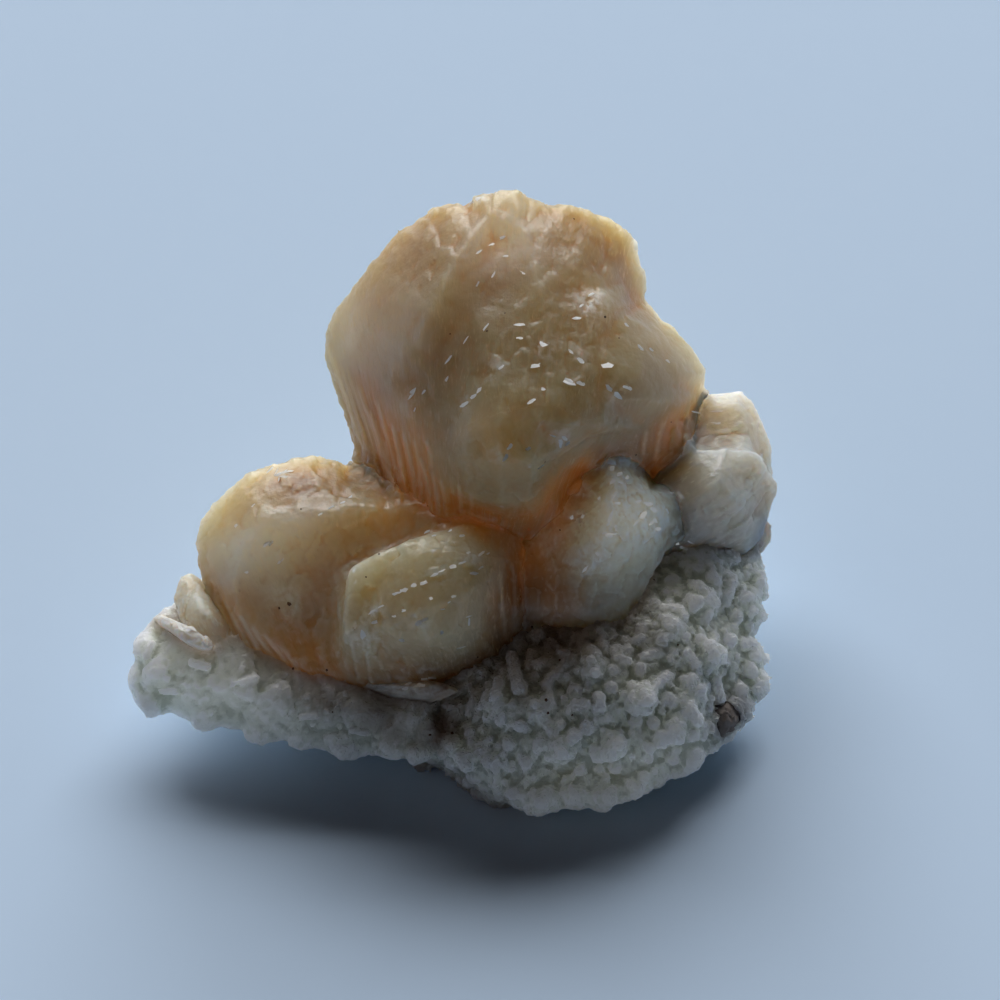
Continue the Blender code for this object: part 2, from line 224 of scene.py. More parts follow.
# ------------------------------------------------------------------ fronts
class Front:
    """The face a crystal turns to the eye, as heights over the layout plane.

    rim goes round the face (right, down, mm towards the eye, and how far the
    height falls outside it); chains are creases and dots are single points."""

    def __init__(self, rim, chains=(), dots=(), soft=2):
        place, rows, edges = {}, [], []

        def put(x, y, w):
            key = (round(x, 1), round(y, 1))
            if key not in place:
                place[key] = len(rows)
                rows.append((x, y, w))
            return place[key]

        rim = [(r[0], r[1], r[2], r[3] if len(r) > 3 else 8.0) for r in rim]
        n = len(rim)
        area = sum(rim[i][0] * rim[(i + 1) % n][1] - rim[(i + 1) % n][0] * rim[i][1] for i in range(n))
        ids = [put(*r[:3]) for r in rim]
        edges += [(ids[i], ids[(i + 1) % n]) for i in range(n)]
        for off, extra in ((6.0, .12), (34.0, .5)):
            for i in range(n):
                ax, ay = rim[(i + 1) % n][0] - rim[i - 1][0], rim[(i + 1) % n][1] - rim[i - 1][1]
                l = math.hypot(ax, ay) or 1.0
                sgn = 1.0 if area > 0 else -1.0
                put(rim[i][0] + sgn * ay / l * off, rim[i][1] - sgn * ax / l * off, rim[i][2] - rim[i][3] * extra)
        for chain in chains:
            k = [put(*c) for c in chain]
            edges += list(zip(k[:-1], k[1:]))
        for d in dots:
            put(*d)
        xy = [Vector(r[:2]) for r in rows]
        verts, _, tris, ov, _, _ = delaunay_2d_cdt(xy, edges, [], 0, 1e-4)
        rows = np.array(rows, float)
        z = np.array([rows[o[0], 2] if o else
                      rows[np.argsort(((rows[:, :2] - np.array(verts[i])) ** 2).sum(1))[:2], 2].mean()
                      for i, o in enumerate(ov)])
        verts = np.array([list(v) for v in verts])
        self.x0, self.y0 = int(verts[:, 0].min()) - 4, int(verts[:, 1].min()) - 4
        nx, ny = int(verts[:, 0].max()) + 5 - self.x0, int(verts[:, 1].max()) + 5 - self.y0
        H = np.full((ny, nx), np.nan)
        for t in tris:
            a, b, c = (verts[i] for i in t[:3])
            lo = np.floor(np.minimum(np.minimum(a, b), c)).astype(int) - (self.x0, self.y0)
            hi = np.ceil(np.maximum(np.maximum(a, b), c)).astype(int) - (self.x0, self.y0) + 1
            gy, gx = np.mgrid[lo[1]:hi[1], lo[0]:hi[0]]
            px, py = gx + self.x0 - a[0], gy + self.y0 - a[1]
            e1, e2 = b - a, c - a
            den = e1[0] * e2[1] - e1[1] * e2[0]
            if abs(den) < 1e-9:
                continue
            u = (px * e2[1] - py * e2[0]) / den
            v = (py * e1[0] - px * e1[1]) / den
            m = (u >= -1e-6) & (v >= -1e-6) & (u + v <= 1 + 1e-6)
            h = z[t[0]] + u * (z[t[1]] - z[t[0]]) + v * (z[t[2]] - z[t[0]])
            H[gy[m], gx[m]] = h[m]
        H[np.isnan(H)] = np.nanmin(H)
        self.low = float(H.min())
        self.H = blur(H, soft) if soft else H
        gy, gx = np.mgrid[0:ny, 0:nx]
        gx, gy = gx + self.x0, gy + self.y0
        far, inside = np.full((ny, nx), 1e9), np.zeros((ny, nx), bool)
        for i in range(n):
            (ax, ay), (bx, by) = rim[i][:2], rim[(i + 1) % n][:2]
            ex, ey = bx - ax, by - ay
            t = np.clip(((gx - ax) * ex + (gy - ay) * ey) / (ex * ex + ey * ey), 0, 1)
            far = np.minimum(far, np.hypot(gx - ax - t * ex, gy - ay - t * ey))
            if ay != by:
                inside ^= ((ay > gy) != (by > gy)) & (gx < ex * (gy - ay) / (by - ay) + ax)
        self.wall = blur(np.where(inside, -far, far) * STEP, 1)
        self.streak = np.zeros_like(self.H)
        self.finish()

    def finish(self):
        self.dy, self.dx = (g / STEP for g in np.gradient(self.H))
        self.wy, self.wx = (g / STEP for g in np.gradient(self.wall))

    def strokes(self, rows, rng, streak=None):
        """Long thin blades standing out of the face: from, to, width, lift in mm."""
        ny, nx = self.H.shape
        yy, xx = np.mgrid[0:ny, 0:nx]
        for x0, y0, x1, y1, wide, lift in rows:
            L = math.hypot(x1 - x0, y1 - y0)
            cx, cy = (x1 - x0) / L, (y1 - y0) / L
            X, Y = xx + self.x0 - x0, yy + self.y0 - y0
            s, t = (X * cx + Y * cy) / L, Y * cx - X * cy
            t = t + rng.uniform(.3, .9) * np.sin(s * rng.uniform(3, 6) + rng.uniform(0, 6))
            on = step01(s, -.04, .12) * step01(-s, -1.04, -.80)
            self.H += lift * on * (np.exp(-(t / wide) ** 2) - .7 * np.exp(-((t - 1.7 * wide) / wide) ** 2))
            np.maximum(self.streak, on * np.exp(-((t / wide) ** 2)), out=self.streak)
        self.finish()

    def look(self, grid, x, y):
        ny, nx = grid.shape
        fx = np.clip(x - self.x0, 0, nx - 1.001)
        fy = np.clip(y - self.y0, 0, ny - 1.001)
        ix, iy = fx.astype(np.int64), fy.astype(np.int64)
        fx, fy = fx - ix, fy - iy
        return ((grid[iy, ix] * (1 - fx) + grid[iy, ix + 1] * fx) * (1 - fy)
                + (grid[iy + 1, ix] * (1 - fx) + grid[iy + 1, ix + 1] * fx) * fy).astype(F)

    def __call__(self, p, want_normal=False):
        x, y, w = layout_of(p)
        h, gx, gy = (self.look(g, x, y) for g in (self.H, self.dx, self.dy))
        l = np.sqrt(1 + gx * gx + gy * gy)
        f = (w - h) / l
        s = self.look(self.wall, x, y) * (1 - w / F(REACH)) - F(.10)
        d = smax(f, s, .7)
        if not want_normal:
            return d
        rim = step01(s, -1.3, -.15)
        n = (-gx[:, None] * AX_U.astype(F) + gy[:, None] * AX_V.astype(F) + AX_W.astype(F)) / l[:, None]
        wx, wy = self.look(self.wx, x, y), self.look(self.wy, x, y)
        t = step01(s - f, -.4, .4)[:, None]
        n = n * (1 - t) + (wx[:, None] * AX_U.astype(F) - wy[:, None] * AX_V.astype(F)) * t
        return d, n, rim

    def bright(self, p):
        """How much of a standing blade a point belongs to."""
        x, y, w = layout_of(p)
        return self.look(self.streak, x, y) * (np.abs(w - self.look(self.H, x, y)) < .8)


# ------------------------------------------------------------------ blocks
def hull_planes(pts):
    bm = bmesh.new()
    for q in pts:
        bm.verts.new([float(c) for c in q])
    bmesh.ops.convex_hull(bm, input=bm.verts, use_existing_faces=False)
    bm.normal_update()
    c = np.mean(pts, axis=0)
    out = {}
    for f in bm.faces:
        n = np.array(f.normal)
        if np.linalg.norm(n) < .5:
            continue
        d = float(n @ np.array(f.verts[0].co))
        if n @ c > d:
            n, d = -n, -d
        out[tuple(np.round(np.append(n * 40, d * 4)).astype(int))] = np.append(n, d)
    bm.free()
    return np.array(list(out.values()), F)


def frame_of(axis, side):
    c = np.array(axis, float)
    c /= np.linalg.norm(c)
    a = np.array(side, float)
    a -= (a @ c) * c
    a /= np.linalg.norm(a)
    return a, np.cross(c, a), c


class Block:
    """A convex block of corners, rounded a little, whose blades fan out from root.

    axis is the blades' mean direction and side the way across their thickness.
    ends and sides are the heights of the blade steps on the fan's end and flanks."""

    def __init__(self, rows, root, axis, side=(1, 0, 0), thick=1.3, wide=3.0, ends=.32, sides=.14,
                 soft=3.6, grow=0.10, reach=42., swell=.25, grain=.05, seed=1, push=0.0, rag=.11):
        pts = points(rows)
        self.pts = pts
        self.planes = hull_planes(pts)
        self.planes[:, 3] += push * step01((self.planes[:, :3] @ AX_W).astype(F), .05, .35)
        self.a, self.b, self.c = (v.astype(F) for v in frame_of(axis, side))
        self.root = np.array(root, F)
        self.thick, self.wide, self.ends, self.sides = thick, wide, ends, sides
        self.soft, self.grow, self.reach, self.swell, self.grain, self.seed = soft, grow, reach, swell, grain, seed
        self.rag = rag
        self.endness = (self.planes[:, :3] @ self.c).astype(F)

    def base(self, p, want_end=False):
        v = p @ self.planes[:, :3].T - self.planes[:, 3]
        m = v.max(1)
        d = m + np.log(np.exp(np.maximum((v - m[:, None]) * F(self.soft), -30)).sum(1)) / F(self.soft) - F(self.grow)
        if want_end:
            return d, self.endness[v.argmax(1)]
        return d

    def relief(self, p, e):
        q = p - self.root
        r = np.sqrt((q * q).sum(1))
        u = q / r[:, None] * F(self.reach)
        wob = vnoise(p / F(4.3), self.seed + 5) * F(.5)
        x, y = u @ self.a + wob, u @ self.b + wob
        amp = F(self.sides) + F(self.ends - self.sides) * step01(e, .1, .55)
        d1, d2, h, ox, oy = cells2(x / F(self.thick), y / F(self.wide), self.seed)
        out = (unit(h) - .5) * .9 + ox * (unit(h, 8) - .5) * .9 + oy * (unit(h, 16) - .5) * .7
        d1, d2, h, ox, oy = cells2(x / F(self.thick * .37) + 9, y / F(self.wide * .37), self.seed + 3)
        out += (unit(h) - .5) * .42 + ox * (unit(h, 8) - .5) * .5 + oy * (unit(h, 16) - .5) * .3
        out *= amp * step01(fbm(p / F(7.), self.seed + 31, 2), -.55, .35)
        out += F(self.swell) * (fbm(p / F(6.5), self.seed + 11, 2) + F(.35) * fbm(p / F(2.2), self.seed + 13, 2))
        rag = plates(p / F(1.9), self.seed + 41) + F(.2) * plates(p / F(.7), self.seed + 43)
        out += F(self.rag) * rag * (F(.25) + F(.75) * step01(e, .1, .5))
        out += F(self.grain) * fbm(p / F(.7), self.seed + 23, 2)
        return out

    def __call__(self, p):
        d, e = self.base(p, True)
        near = np.abs(d) < 1.6
        if near.any():
            d = d.copy()
            d[near] -= self.relief(p[near], e[near])
        return d


def plates(p, seed):
    """Intergrown crystal ends: cells whose faces tilt every way."""
    d1, d2, h, off = cells3(p, seed)
    tilt = np.stack([unit(h, 4) - .5, unit(h, 12) - .5, unit(h, 20) - .5], 1)
    return (unit(h) - .5) + (off * tilt).sum(1) * 2.2 + (.45 - d1) * .9


class Rock(Block):
    """A block of matrix: lumps and a crumbly crust in place of blades."""

    lump, lump_size, crust, crust_size, fine = .75, 4.4, .26, 1.45, .10

    def relief(self, p, e):
        w = np.stack([vnoise(p / F(3.4), self.seed + 40 + k) for k in range(3)], 1)
        d1, d2, h, off = cells3((p + w) / F(self.lump_size), self.seed)
        out = F(self.lump) * (1.0 - d1 * d1 * 1.6 + (unit(h) - .5) * 1.1)
        q = p + w * F(.4)
        out += F(self.crust) * plates(q / F(self.crust_size), self.seed + 7)
        out += F(self.fine) * plates(q / F(self.crust_size * .42), self.seed + 9)
        out += F(self.swell) * fbm(p / F(6.), self.seed + 11, 2)
        return out - F(.25)


class Knob:
    """A round knob of crust standing on the matrix."""

    def __init__(self, gx, gy, w, r, seed):
        self.centre = at(gx, gy, w)
        self.r, self.seed = r, seed
        self.pts = np.array([self.centre - r * 1.4, self.centre + r * 1.4])
        self.c, self.a, self.b, self.root, self.reach = np.array([0, 0, 1.]), AX_U, AX_V, self.centre, 5.0

    def base(self, p):
        q = p - self.centre.astype(F)
        return np.sqrt((q * q).sum(1)) - F(self.r)

    def __call__(self, p):
        d = self.base(p)
        near = np.abs(d) < 1.6
        if near.any():
            d = d.copy()
            q = p[near]
            d[near] -= F(.26) * plates(q / F(1.3), self.seed) + F(.10) * plates(q / F(.55), self.seed + 2)
        return d


class Piece:
    """Blocks grown into one another, cut to a front where one is given."""

    def __init__(self, blocks, blend=1.6, front=None, edge=.5):
        self.blocks, self.blend, self.front, self.edge = blocks, blend, front, edge
        allp = np.concatenate([b.pts for b in blocks])
        self.lo, self.hi = allp.min(0) - 1.2, allp.max(0) + 1.2

    def base(self, p):
        d = self.blocks[0].base(p)
        for b in self.blocks[1:]:
            d = smin(d, b.base(p), self.blend)
        return d if self.front is None else smax(d, self.front(p), self.edge)

    def gapness(self, p):
        """How near the second block's surface is to the first's: the seams."""
        ds = np.sort(np.stack([b.base(p) for b in self.blocks], 1), axis=1)
        return ds[:, 1] - ds[:, 0] if ds.shape[1] > 1 else np.full(len(p), 9, F)

    def __call__(self, p):
        if self.front is None:
            d = self.blocks[0](p)
            for b in self.blocks[1:]:
                d = smin(d, b(p), self.blend)
            return d
        ds, es = zip(*(b.base(p, True) for b in self.blocks))
        d = ds[0]
        for x in ds[1:]:
            d = smin(d, x, self.blend)
        f, n, rim = self.front(p, True)
        ahead = step01(f - d, -.4, .4)
        d = smax(d, f, self.edge)
        near = np.abs(d) < 1.6
        if near.any():
            d = d.copy()
            q, m = p[near], np.stack([x[near] for x in ds], 1)
            wt = np.clip(1 - (m - m.min(1, keepdims=True)) / F(1.5), 0, 1)
            out, ah, nn = np.zeros(len(q), F), ahead[near], n[near]
            for k, b in enumerate(self.blocks):
                u = wt[:, k] > 0
                if u.any():
                    e = (nn[u] @ b.c) * ah[u] + es[k][near][u] * (1 - ah[u])
                    out[u] += wt[u, k] * b.relief(q[u], e)
            out = out / wt.sum(1)
            r = rim[near]
            u = r > .02
            if u.any():
                out[u] += r[u] * (F(.17) * plates(q[u] / F(1.5), 77) + F(.08) * plates(q[u] / F(.6), 78))
            d[near] -= out
        return d


# -------------------------------------------------------------------- mesh
class Stub:
    """A stubby six-sided crystal with a bevelled end, joined to a grown surface."""

    def __init__(self, place, axis, width, length, rng, sink=.6, bevel=.22, flat=1.0):
        a, b, c = frame_of(axis, rng.normal(size=3))
        self.place, self.reach = place, float(np.hypot(width * .6, max(length, sink * width))) + .25
        ang = np.arange(6) * (math.pi / 3) + rng.uniform(0, 1)
        side = np.outer(np.cos(ang), a) + np.outer(np.sin(ang), b)
        r = width / 2 * (1 + rng.uniform(-.12, .12, 6)) * np.where(np.abs(np.cos(ang)) > .6, flat, 1.0)
        top = c + (a * rng.uniform(-.12, .12) + b * rng.uniform(-.12, .12))
        top /= np.linalg.norm(top)
        rim = side * .72 + c * .70
        rim /= np.linalg.norm(rim, axis=1)[:, None]
        self.planes = np.concatenate([side, top[None], rim, -c[None]]).astype(F)
        self.far = np.concatenate([r, [length], (r * .72 + length * .70) / math.hypot(.72, .70) - bevel * width * .5, [sink * width]]).astype(F)
        self.c, self.length, self.width = c, length, width

    def __call__(self, p):
        return ((p - self.place.astype(F)) @ self.planes.T - self.far).max(1)


def mesh_field(f, lo, hi, h, slack=1.4, B=8, stamps=(), keep=None, fan=None):
    """Surface nets of f < 0 on a grid of size h, filled only near the surface.

    stamps are joined to it afterwards, without entering keep < 0's outside."""
    lo, hi = np.array(lo, float), np.array(hi, float)
    if fan:
        box = fan.to(np.array([[x, y, z] for x in (lo[0], hi[0]) for y in (lo[1], hi[1]) for z in (lo[2], hi[2])]))
        lo, hi = box.min(0), box.max(0)

    def real(g):
        return fan.back(g) if fan else g

    def level(g):
        d = f(real(g).astype(F))
        return (d / fan.scale(g)).astype(F) if fan else d

    lo = lo - 2 * h
    n = np.ceil((hi + 2 * h - lo) / h / B).astype(int)
    N = n * B
    bi = np.stack(np.meshgrid(*[np.arange(k) for k in n], indexing="ij"), -1).reshape(-1, 3)
    d = level(lo + (bi + .5) * B * h)
    val = np.empty(N, F)
    val.reshape(n[0], B, n[1], B, n[2], B)[:] = d.reshape(n)[:, None, :, None, :, None]
    ab = bi[np.abs(d) < math.sqrt(3) * (B * h / 2 + h) + slack]
    off = np.stack(np.meshgrid(*[np.arange(B)] * 3, indexing="ij"), -1).reshape(-1, 3)
    for s in range(0, len(ab), 700):
        idx = (ab[s:s + 700, None, :] * B + off[None]).reshape(-1, 3)
        val[idx[:, 0], idx[:, 1], idx[:, 2]] = level(lo + idx * h)
    if stamps:
        touched = np.zeros(val.shape, bool)
        for st in stamps:
            c, reach = (fan.to(st.place[None])[0], st.reach / fan.scale(fan.to(st.place[None]))[0]) if fan else (st.place, st.reach)
            a = np.maximum(np.floor((c - reach - lo) / h).astype(int), 0)
            b = np.minimum(np.ceil((c + reach - lo) / h).astype(int) + 1, N)
            if (b <= a).any():
                continue
            box = tuple(slice(a[k], b[k]) for k in range(3))
            g = np.stack(np.meshgrid(*[np.arange(a[k], b[k]) for k in range(3)], indexing="ij"), -1).reshape(-1, 3)
            g = lo + g * h
            d = st(real(g).astype(F))
            if fan:
                d = (d / fan.scale(g)).astype(F)
            old = val[box]
            d = d.reshape(old.shape)
            hit = d < old
            val[box] = np.where(hit, d, old)
            touched[box] |= hit
        g = np.argwhere(touched)
        taken = keep(real(lo + g * h).astype(F))
        val[g[:, 0], g[:, 1], g[:, 2]] = np.maximum(val[g[:, 0], g[:, 1], g[:, 2]], taken)
    inside = val < 0
    cnt = np.zeros(tuple(N - 1), np.int8)
    for a in (0, 1):
        for b in (0, 1):
            for c in (0, 1):
                cnt += inside[a:N[0] - 1 + a, b:N[1] - 1 + b, c:N[2] - 1 + c]
    ci = np.argwhere((cnt > 0) & (cnt < 8))
    index = np.full(tuple(N - 1), -1, np.int32)
    index[ci[:, 0], ci[:, 1], ci[:, 2]] = np.arange(len(ci))
    corner = [(a, b, c) for a in (0, 1) for b in (0, 1) for c in (0, 1)]
    cv = np.stack([val[ci[:, 0] + a, ci[:, 1] + b, ci[:, 2] + c] for a, b, c in corner], 1)
    acc, num = np.zeros((len(ci), 3)), np.zeros(len(ci))
    for x in range(8):
        for y in range(x + 1, 8):
            ca, cb = np.array(corner[x]), np.array(corner[y])
            if np.abs(ca - cb).sum() != 1:
                continue
            va, vb = cv[:, x], cv[:, y]
            cross = (va < 0) != (vb < 0)
            t = np.where(cross, va / np.where(cross, va - vb, 1), 0)
            acc += np.where(cross[:, None], ca + (cb - ca) * t[:, None], 0)
            num += cross
    verts = lo + (ci + acc / num[:, None]) * h
    faces = []
    for ax in range(3):
        o1, o2 = [(1, 2), (2, 0), (0, 1)][ax]
        s0 = [slice(1, N[k] - 1) for k in range(3)]
        s0[ax] = slice(0, N[ax] - 1)
        s1 = list(s0)
        s1[ax] = slice(1, N[ax])
        A, Bv = inside[tuple(s0)], inside[tuple(s1)]
        e = np.argwhere(A != Bv)
        flip = A[e[:, 0], e[:, 1], e[:, 2]]
        base = e.copy()
        for k in range(3):
            if k != ax:
                base[:, k] += 1

        def cell(d1, d2):
            q = base.copy()
            q[:, o1] -= d1
            q[:, o2] -= d2
            return index[q[:, 0], q[:, 1], q[:, 2]]
        quad = np.stack([cell(1, 1), cell(0, 1), cell(0, 0), cell(1, 0)], 1)
        faces.append(np.where(flip[:, None], quad, quad[:, ::-1]))
    return keep_largest(real(verts), np.concatenate(faces))


def keep_largest(verts, faces):
    n = len(verts)
    lab = np.arange(n)
    a, b = faces[:, [0, 1, 2, 3]].ravel(), faces[:, [1, 2, 3, 0]].ravel()
    while True:
        m = np.minimum(lab[a], lab[b])
        new = lab.copy()
        np.minimum.at(new, a, m)
        np.minimum.at(new, b, m)
        new = new[new]
        if (new == lab).all():
            break
        lab = new
    u, inv, c = np.unique(lab, return_inverse=True, return_counts=True)
    keep = inv == c.argmax()
    m = -np.ones(n, int)
    m[keep] = np.arange(keep.sum())
    return verts[keep], m[faces[keep[faces[:, 0]]]]


def make_object(name, verts, faces, attributes=None, smooth=True):
    me = bpy.data.meshes.new(name)
    k = faces.shape[1]
    nv, nf = len(verts), len(faces)
    me.vertices.add(nv)
    me.vertices.foreach_set("co", (np.asarray(verts, F) * F(.001)).ravel())
    me.loops.add(nf * k)
    me.loops.foreach_set("vertex_index", faces.astype(np.int32).ravel())
    me.polygons.add(nf)
    me.polygons.foreach_set("loop_start", np.arange(nf, dtype=np.int32) * k)
    me.update(calc_edges=True)
    me.validate()
    me.polygons.foreach_set("use_smooth", np.full(len(me.polygons), smooth))
    for key, values in (attributes or {}).items():
        at_ = me.attributes.new(key, "FLOAT", "POINT")
        at_.data.foreach_set("value", np.asarray(values, F))
    ob = bpy.data.objects.new(name, me)
    bpy.context.scene.collection.objects.link(ob)
    return ob


# ------------------------------------------------------------------ shapes
MAIN_CORE = [
    (323, 350, -2), (326, 325, -1), (335, 308, -.5), (366, 269, 0), (394, 234, 1),
    (433, 208, 2.5), (467, 206, 4.5), (498, 192, 6.5), (514, 191, 6.5),
    (566, 204, 4), (598, 214, 2), (624, 232, .5), (635, 246, -.5), (645, 274, -1.5),
    (645, 300, -1),
    (370, 352, 3.5), (388, 384, 5.5), (425, 431, 9), (434, 468, 9.5), (436, 510, 8),
    (425, 300, 7.5), (404, 348, 7.5), (455, 385, 13), (520, 345, 15.2),
    (560, 300, 12), (600, 330, 10.8), (600, 400, 13.5), (580, 440, 12.8), (500, 420, 16.6),
    (W, -8, 24, 36), (W, 10, 25, 38), (W, 3, 24, 45), (W, -13, 18, 33), (W, 17, 20, 34),
    (W, -9, 4, 14), (W, -2, -3, 13), (W, 5, -5, 13), (W, 13, 0, 13), (W, 12, 12, 13),
    (W, -5, 14, 13),
]
MAIN_BOSS = [
    (432, 458, 9.5), (440, 428, 11.5), (462, 403, 14), (487, 389, 16), (522, 386, 16.8),
    (562, 396, 16), (592, 415, 13.5), (600, 445, 11), (572, 462, 10.5), (564, 490, 9),
    (558, 517, 7), (527, 529, 6), (493, 519, 6.5), (456, 518, 7), (440, 500, 7.5),
    (500, 440, 18), (540, 440, 17.5), (470, 450, 15.5), (500, 492, 14), (535, 492, 13),
    (W, -1, 0, 18), (W, 11, 0, 18), (W, 5, 8, 20), (W, 5, -3, 20),
]
MAIN_LOBE = [
    (646, 298, -1), (662, 317, -1), (687, 337, -1), (709, 368, -2.5), (702, 389, -3),
    (693, 408, -3), (693, 450, -3), (662, 470, -1), (598, 298, 9.5), (588, 345, 12.5),
    (597, 400, 13), (607, 440, 10.5), (636, 455, 6), (640, 340, 9.5), (672, 362, 6.5),
    (682, 400, 4), (650, 430, 7),
    (W, 18, 8, 20), (W, 12, 12, 18), (W, 22, 16, 32), (W, 14, 2, 18),
]
MAIN_WEDGE = [
    (598, 440, 8), (640, 445, 4), (690, 420, -2), (695, 450, -3), (662, 471, -1),
    (640, 468, 1), (600, 470, 4), (575, 480, 6),
    (W, 12, 0, 14), (W, 20, 6, 15), (W, 18, 14, 16), (W, 8, 6, 14),
]
LEFT_REAR = [
    (374, 478, -5), (345, 472, -2.5), (338, 461, -2), (316, 453, -1), (299, 458, 0),
    (277, 460, .5), (249, 470, .5), (232, 482, .5), (210, 505, .5), (198, 521, 0),
    (194, 540, 0), (198, 562, .5), (204, 583, 1.5), (215, 610, 2.5), (227, 633, 2),
    (242, 643, 2), (272, 556, 7.8), (320, 520, 8.5), (364, 486, 6), (410, 495, 4),
    (300, 620, 9.5), (345, 600, 10.5), (400, 560, 9.5), (430, 530, 7), (266, 659, 2),
    (300, 676, 2), (345, 690, 4), (330, 650, 8.5),
    (W, -18, 8, 10), (W, -25, 0, 9), (W, -8, 8, 9), (W, -5, 0, 9), (W, -20, -8, 8),
]
LEFT_FRONT = [
    (346, 603, 9), (350, 577, 9.5), (375, 557, 10.5), (405, 545, 11), (432, 534, 10.5),
    (480, 530, 9), (512, 545, 7), (531, 575, 6), (530, 610, 5.5), (514, 640, 5.5),
    (497, 657, 5.5), (478, 668, 6), (462, 690, 5.5), (400, 702, 5.5), (360, 688, 6.5),
    (345, 655, 8.5), (365, 610, 13.3), (400, 580, 14.8), (455, 570, 14.5),
    (480, 580, 13), (430, 622, 15), (470, 625, 12.5), (395, 655, 12.3), (440, 660, 10.5),
    (500, 600, 10),
    (W, -2, -2, 10), (W, 4, -6, 9), (W, -12, -8, 8),
]
BLADE = [
    (328, 682, 4.5), (338, 697, 4.5), (372, 708, 5), (400, 714, 5.5), (440, 703, 8),
    (462, 690, 8.5), (444, 681, 9), (400, 686, 9), (350, 682, 7.5), (345, 678, 6),
    (W, -12, -12, 8), (W, -4, -14, 8),
]
FROSTED = [
    (535, 545, 6), (549, 530, 7.5), (565, 510, 9), (580, 478, 8.5), (599, 462, 7.5),
    (616, 462, 7), (631, 472, 6), (660, 490, 4), (671, 506, 2.5), (679, 523, 1.5),
    (672, 537, 2), (655, 558, 3), (638, 571, 4), (600, 590, 5), (573, 600, 5),
    (548, 575, 6), (610, 480, 10.5), (625, 525, 11), (590, 545, 10.5), (657, 515, 7.5),
    (640, 548, 8), (600, 575, 8.5), (572, 560, 9),
    (W, 12, 0, 13), (W, 20, 2, 13), (W, 14, -6, 11),
]
FROSTED_ROOT = [
    (560, 455, 4), (600, 448, 5), (640, 452, 3), (665, 475, 1), (672, 520, 1),
    (655, 570, 3), (645, 595, 4), (624, 622, 5), (594, 628, 6), (545, 622, 6),
    (512, 640, 4), (505, 600, 4), (520, 560, 5), (545, 520, 6), (580, 560, 8.5),
    (560, 600, 8), (620, 590, 7.5),
    (W, 12, 6, 12), (W, 20, 4, 12), (W, 6, -6, 9), (W, 16, -8, 9),
]
REAR_UPPER = [
    (690, 394, -6), (738, 392, -7), (751, 403, -8), (765, 425, -9), (772, 445, -10),
    (773, 465, -10), (769, 490, -9), (745, 458, -3), (700, 455, -2), (748, 430, -4),
    (738, 404, -4.5), (690, 404, -4), (690, 440, -3),
    (W, 20, 16, 14), (W, 31, 17, 14), (W, 31, 8, 12), (W, 20, 6, 12),
]
REAR_LOWER = [
    (660, 470, 0), (690, 452, 1.5), (715, 451, 1), (740, 455, -.5), (757, 468, -2.5),
    (770, 490, -6), (769, 515, -6.5), (764, 535, -6), (748, 552, -4), (715, 545, -.5),
    (690, 533, 1.5), (672, 510, 2), (705, 495, 4.5), (740, 505, 2), (720, 480, 4),
    (W, 18, 4, 12), (W, 30, 8, 12), (W, 30, 2, 10), (W, 20, -2, 12),
]
REAR_TIP = [
    (346, 478, -11), (350, 461, -12), (357, 455, -13), (370, 462, -14),
    (380, 480, -13), (365, 475, -10), (W, -14, 14, 9), (W, -6, 15, 9), (W, -10, 8, 9),
]
EDGE_SHEAF = [
    (172, 607, 1), (173, 590, .5), (180, 574, 0), (196, 571, 0), (206, 583, 1.5),
    (219, 605, 3), (236, 628, 3), (238, 645, 3), (215, 650, 3.5), (190, 640, 3.5),
    (178, 622, 3), (198, 610, 5.5), (214, 622, 5.5), (W, -28, -3, 9), (W, -23, -8, 8),
]
EDGE_BLADE = [
    (150, 620, 3), (157, 611, 2.5), (168, 612, 2.5), (176, 618, 4.5), (195, 628, 6),
    (214, 637, 6.5), (217, 643, 6), (205, 650, 6.5), (190, 648, 6.5), (178, 637, 6),
    (160, 625, 5), (W, -29, -10, 10), (W, -26, -12, 9), (W, -32, -8, 10),
]
RIGHT_TIP = [
    (757, 548, -6), (755, 528, -5), (766, 513, -6.5), (775, 528, -8), (776, 543, -8),
    (768, 556, -7), (W, 27, 2, 11), (W, 30, 6, 12),
]
WING = [
    (133, 673, 0), (137, 652, .5), (141, 634, .5), (151, 619, .5), (168, 612, .5),
    (190, 640, 4), (135, 693, 0), (148, 707, 0), (165, 711, .5), (184, 719, 1),
    (213, 725, 1), (233, 727, 1), (246, 737, 1.5), (266, 743, 2), (294, 743, 2.5),
    (316, 744, 3), (328, 754, 3.5), (353, 754, 4), (384, 751, 5), (406, 751, 5.5),
    (426, 761, 6), (434, 745, 7), (440, 735, 7.5), (150, 672, 4), (250, 700, 6),
    (350, 722, 7), (430, 722, 8.5), (300, 730, 5),
    (W, -25, 0, 12), (W, -10, 8, 14), (W, -27, 2, 8), (W, -14, 10, 5), (W, 0, -5, 4),
    (W, 0, 5, 14), (W, -24, -6, 8),
]
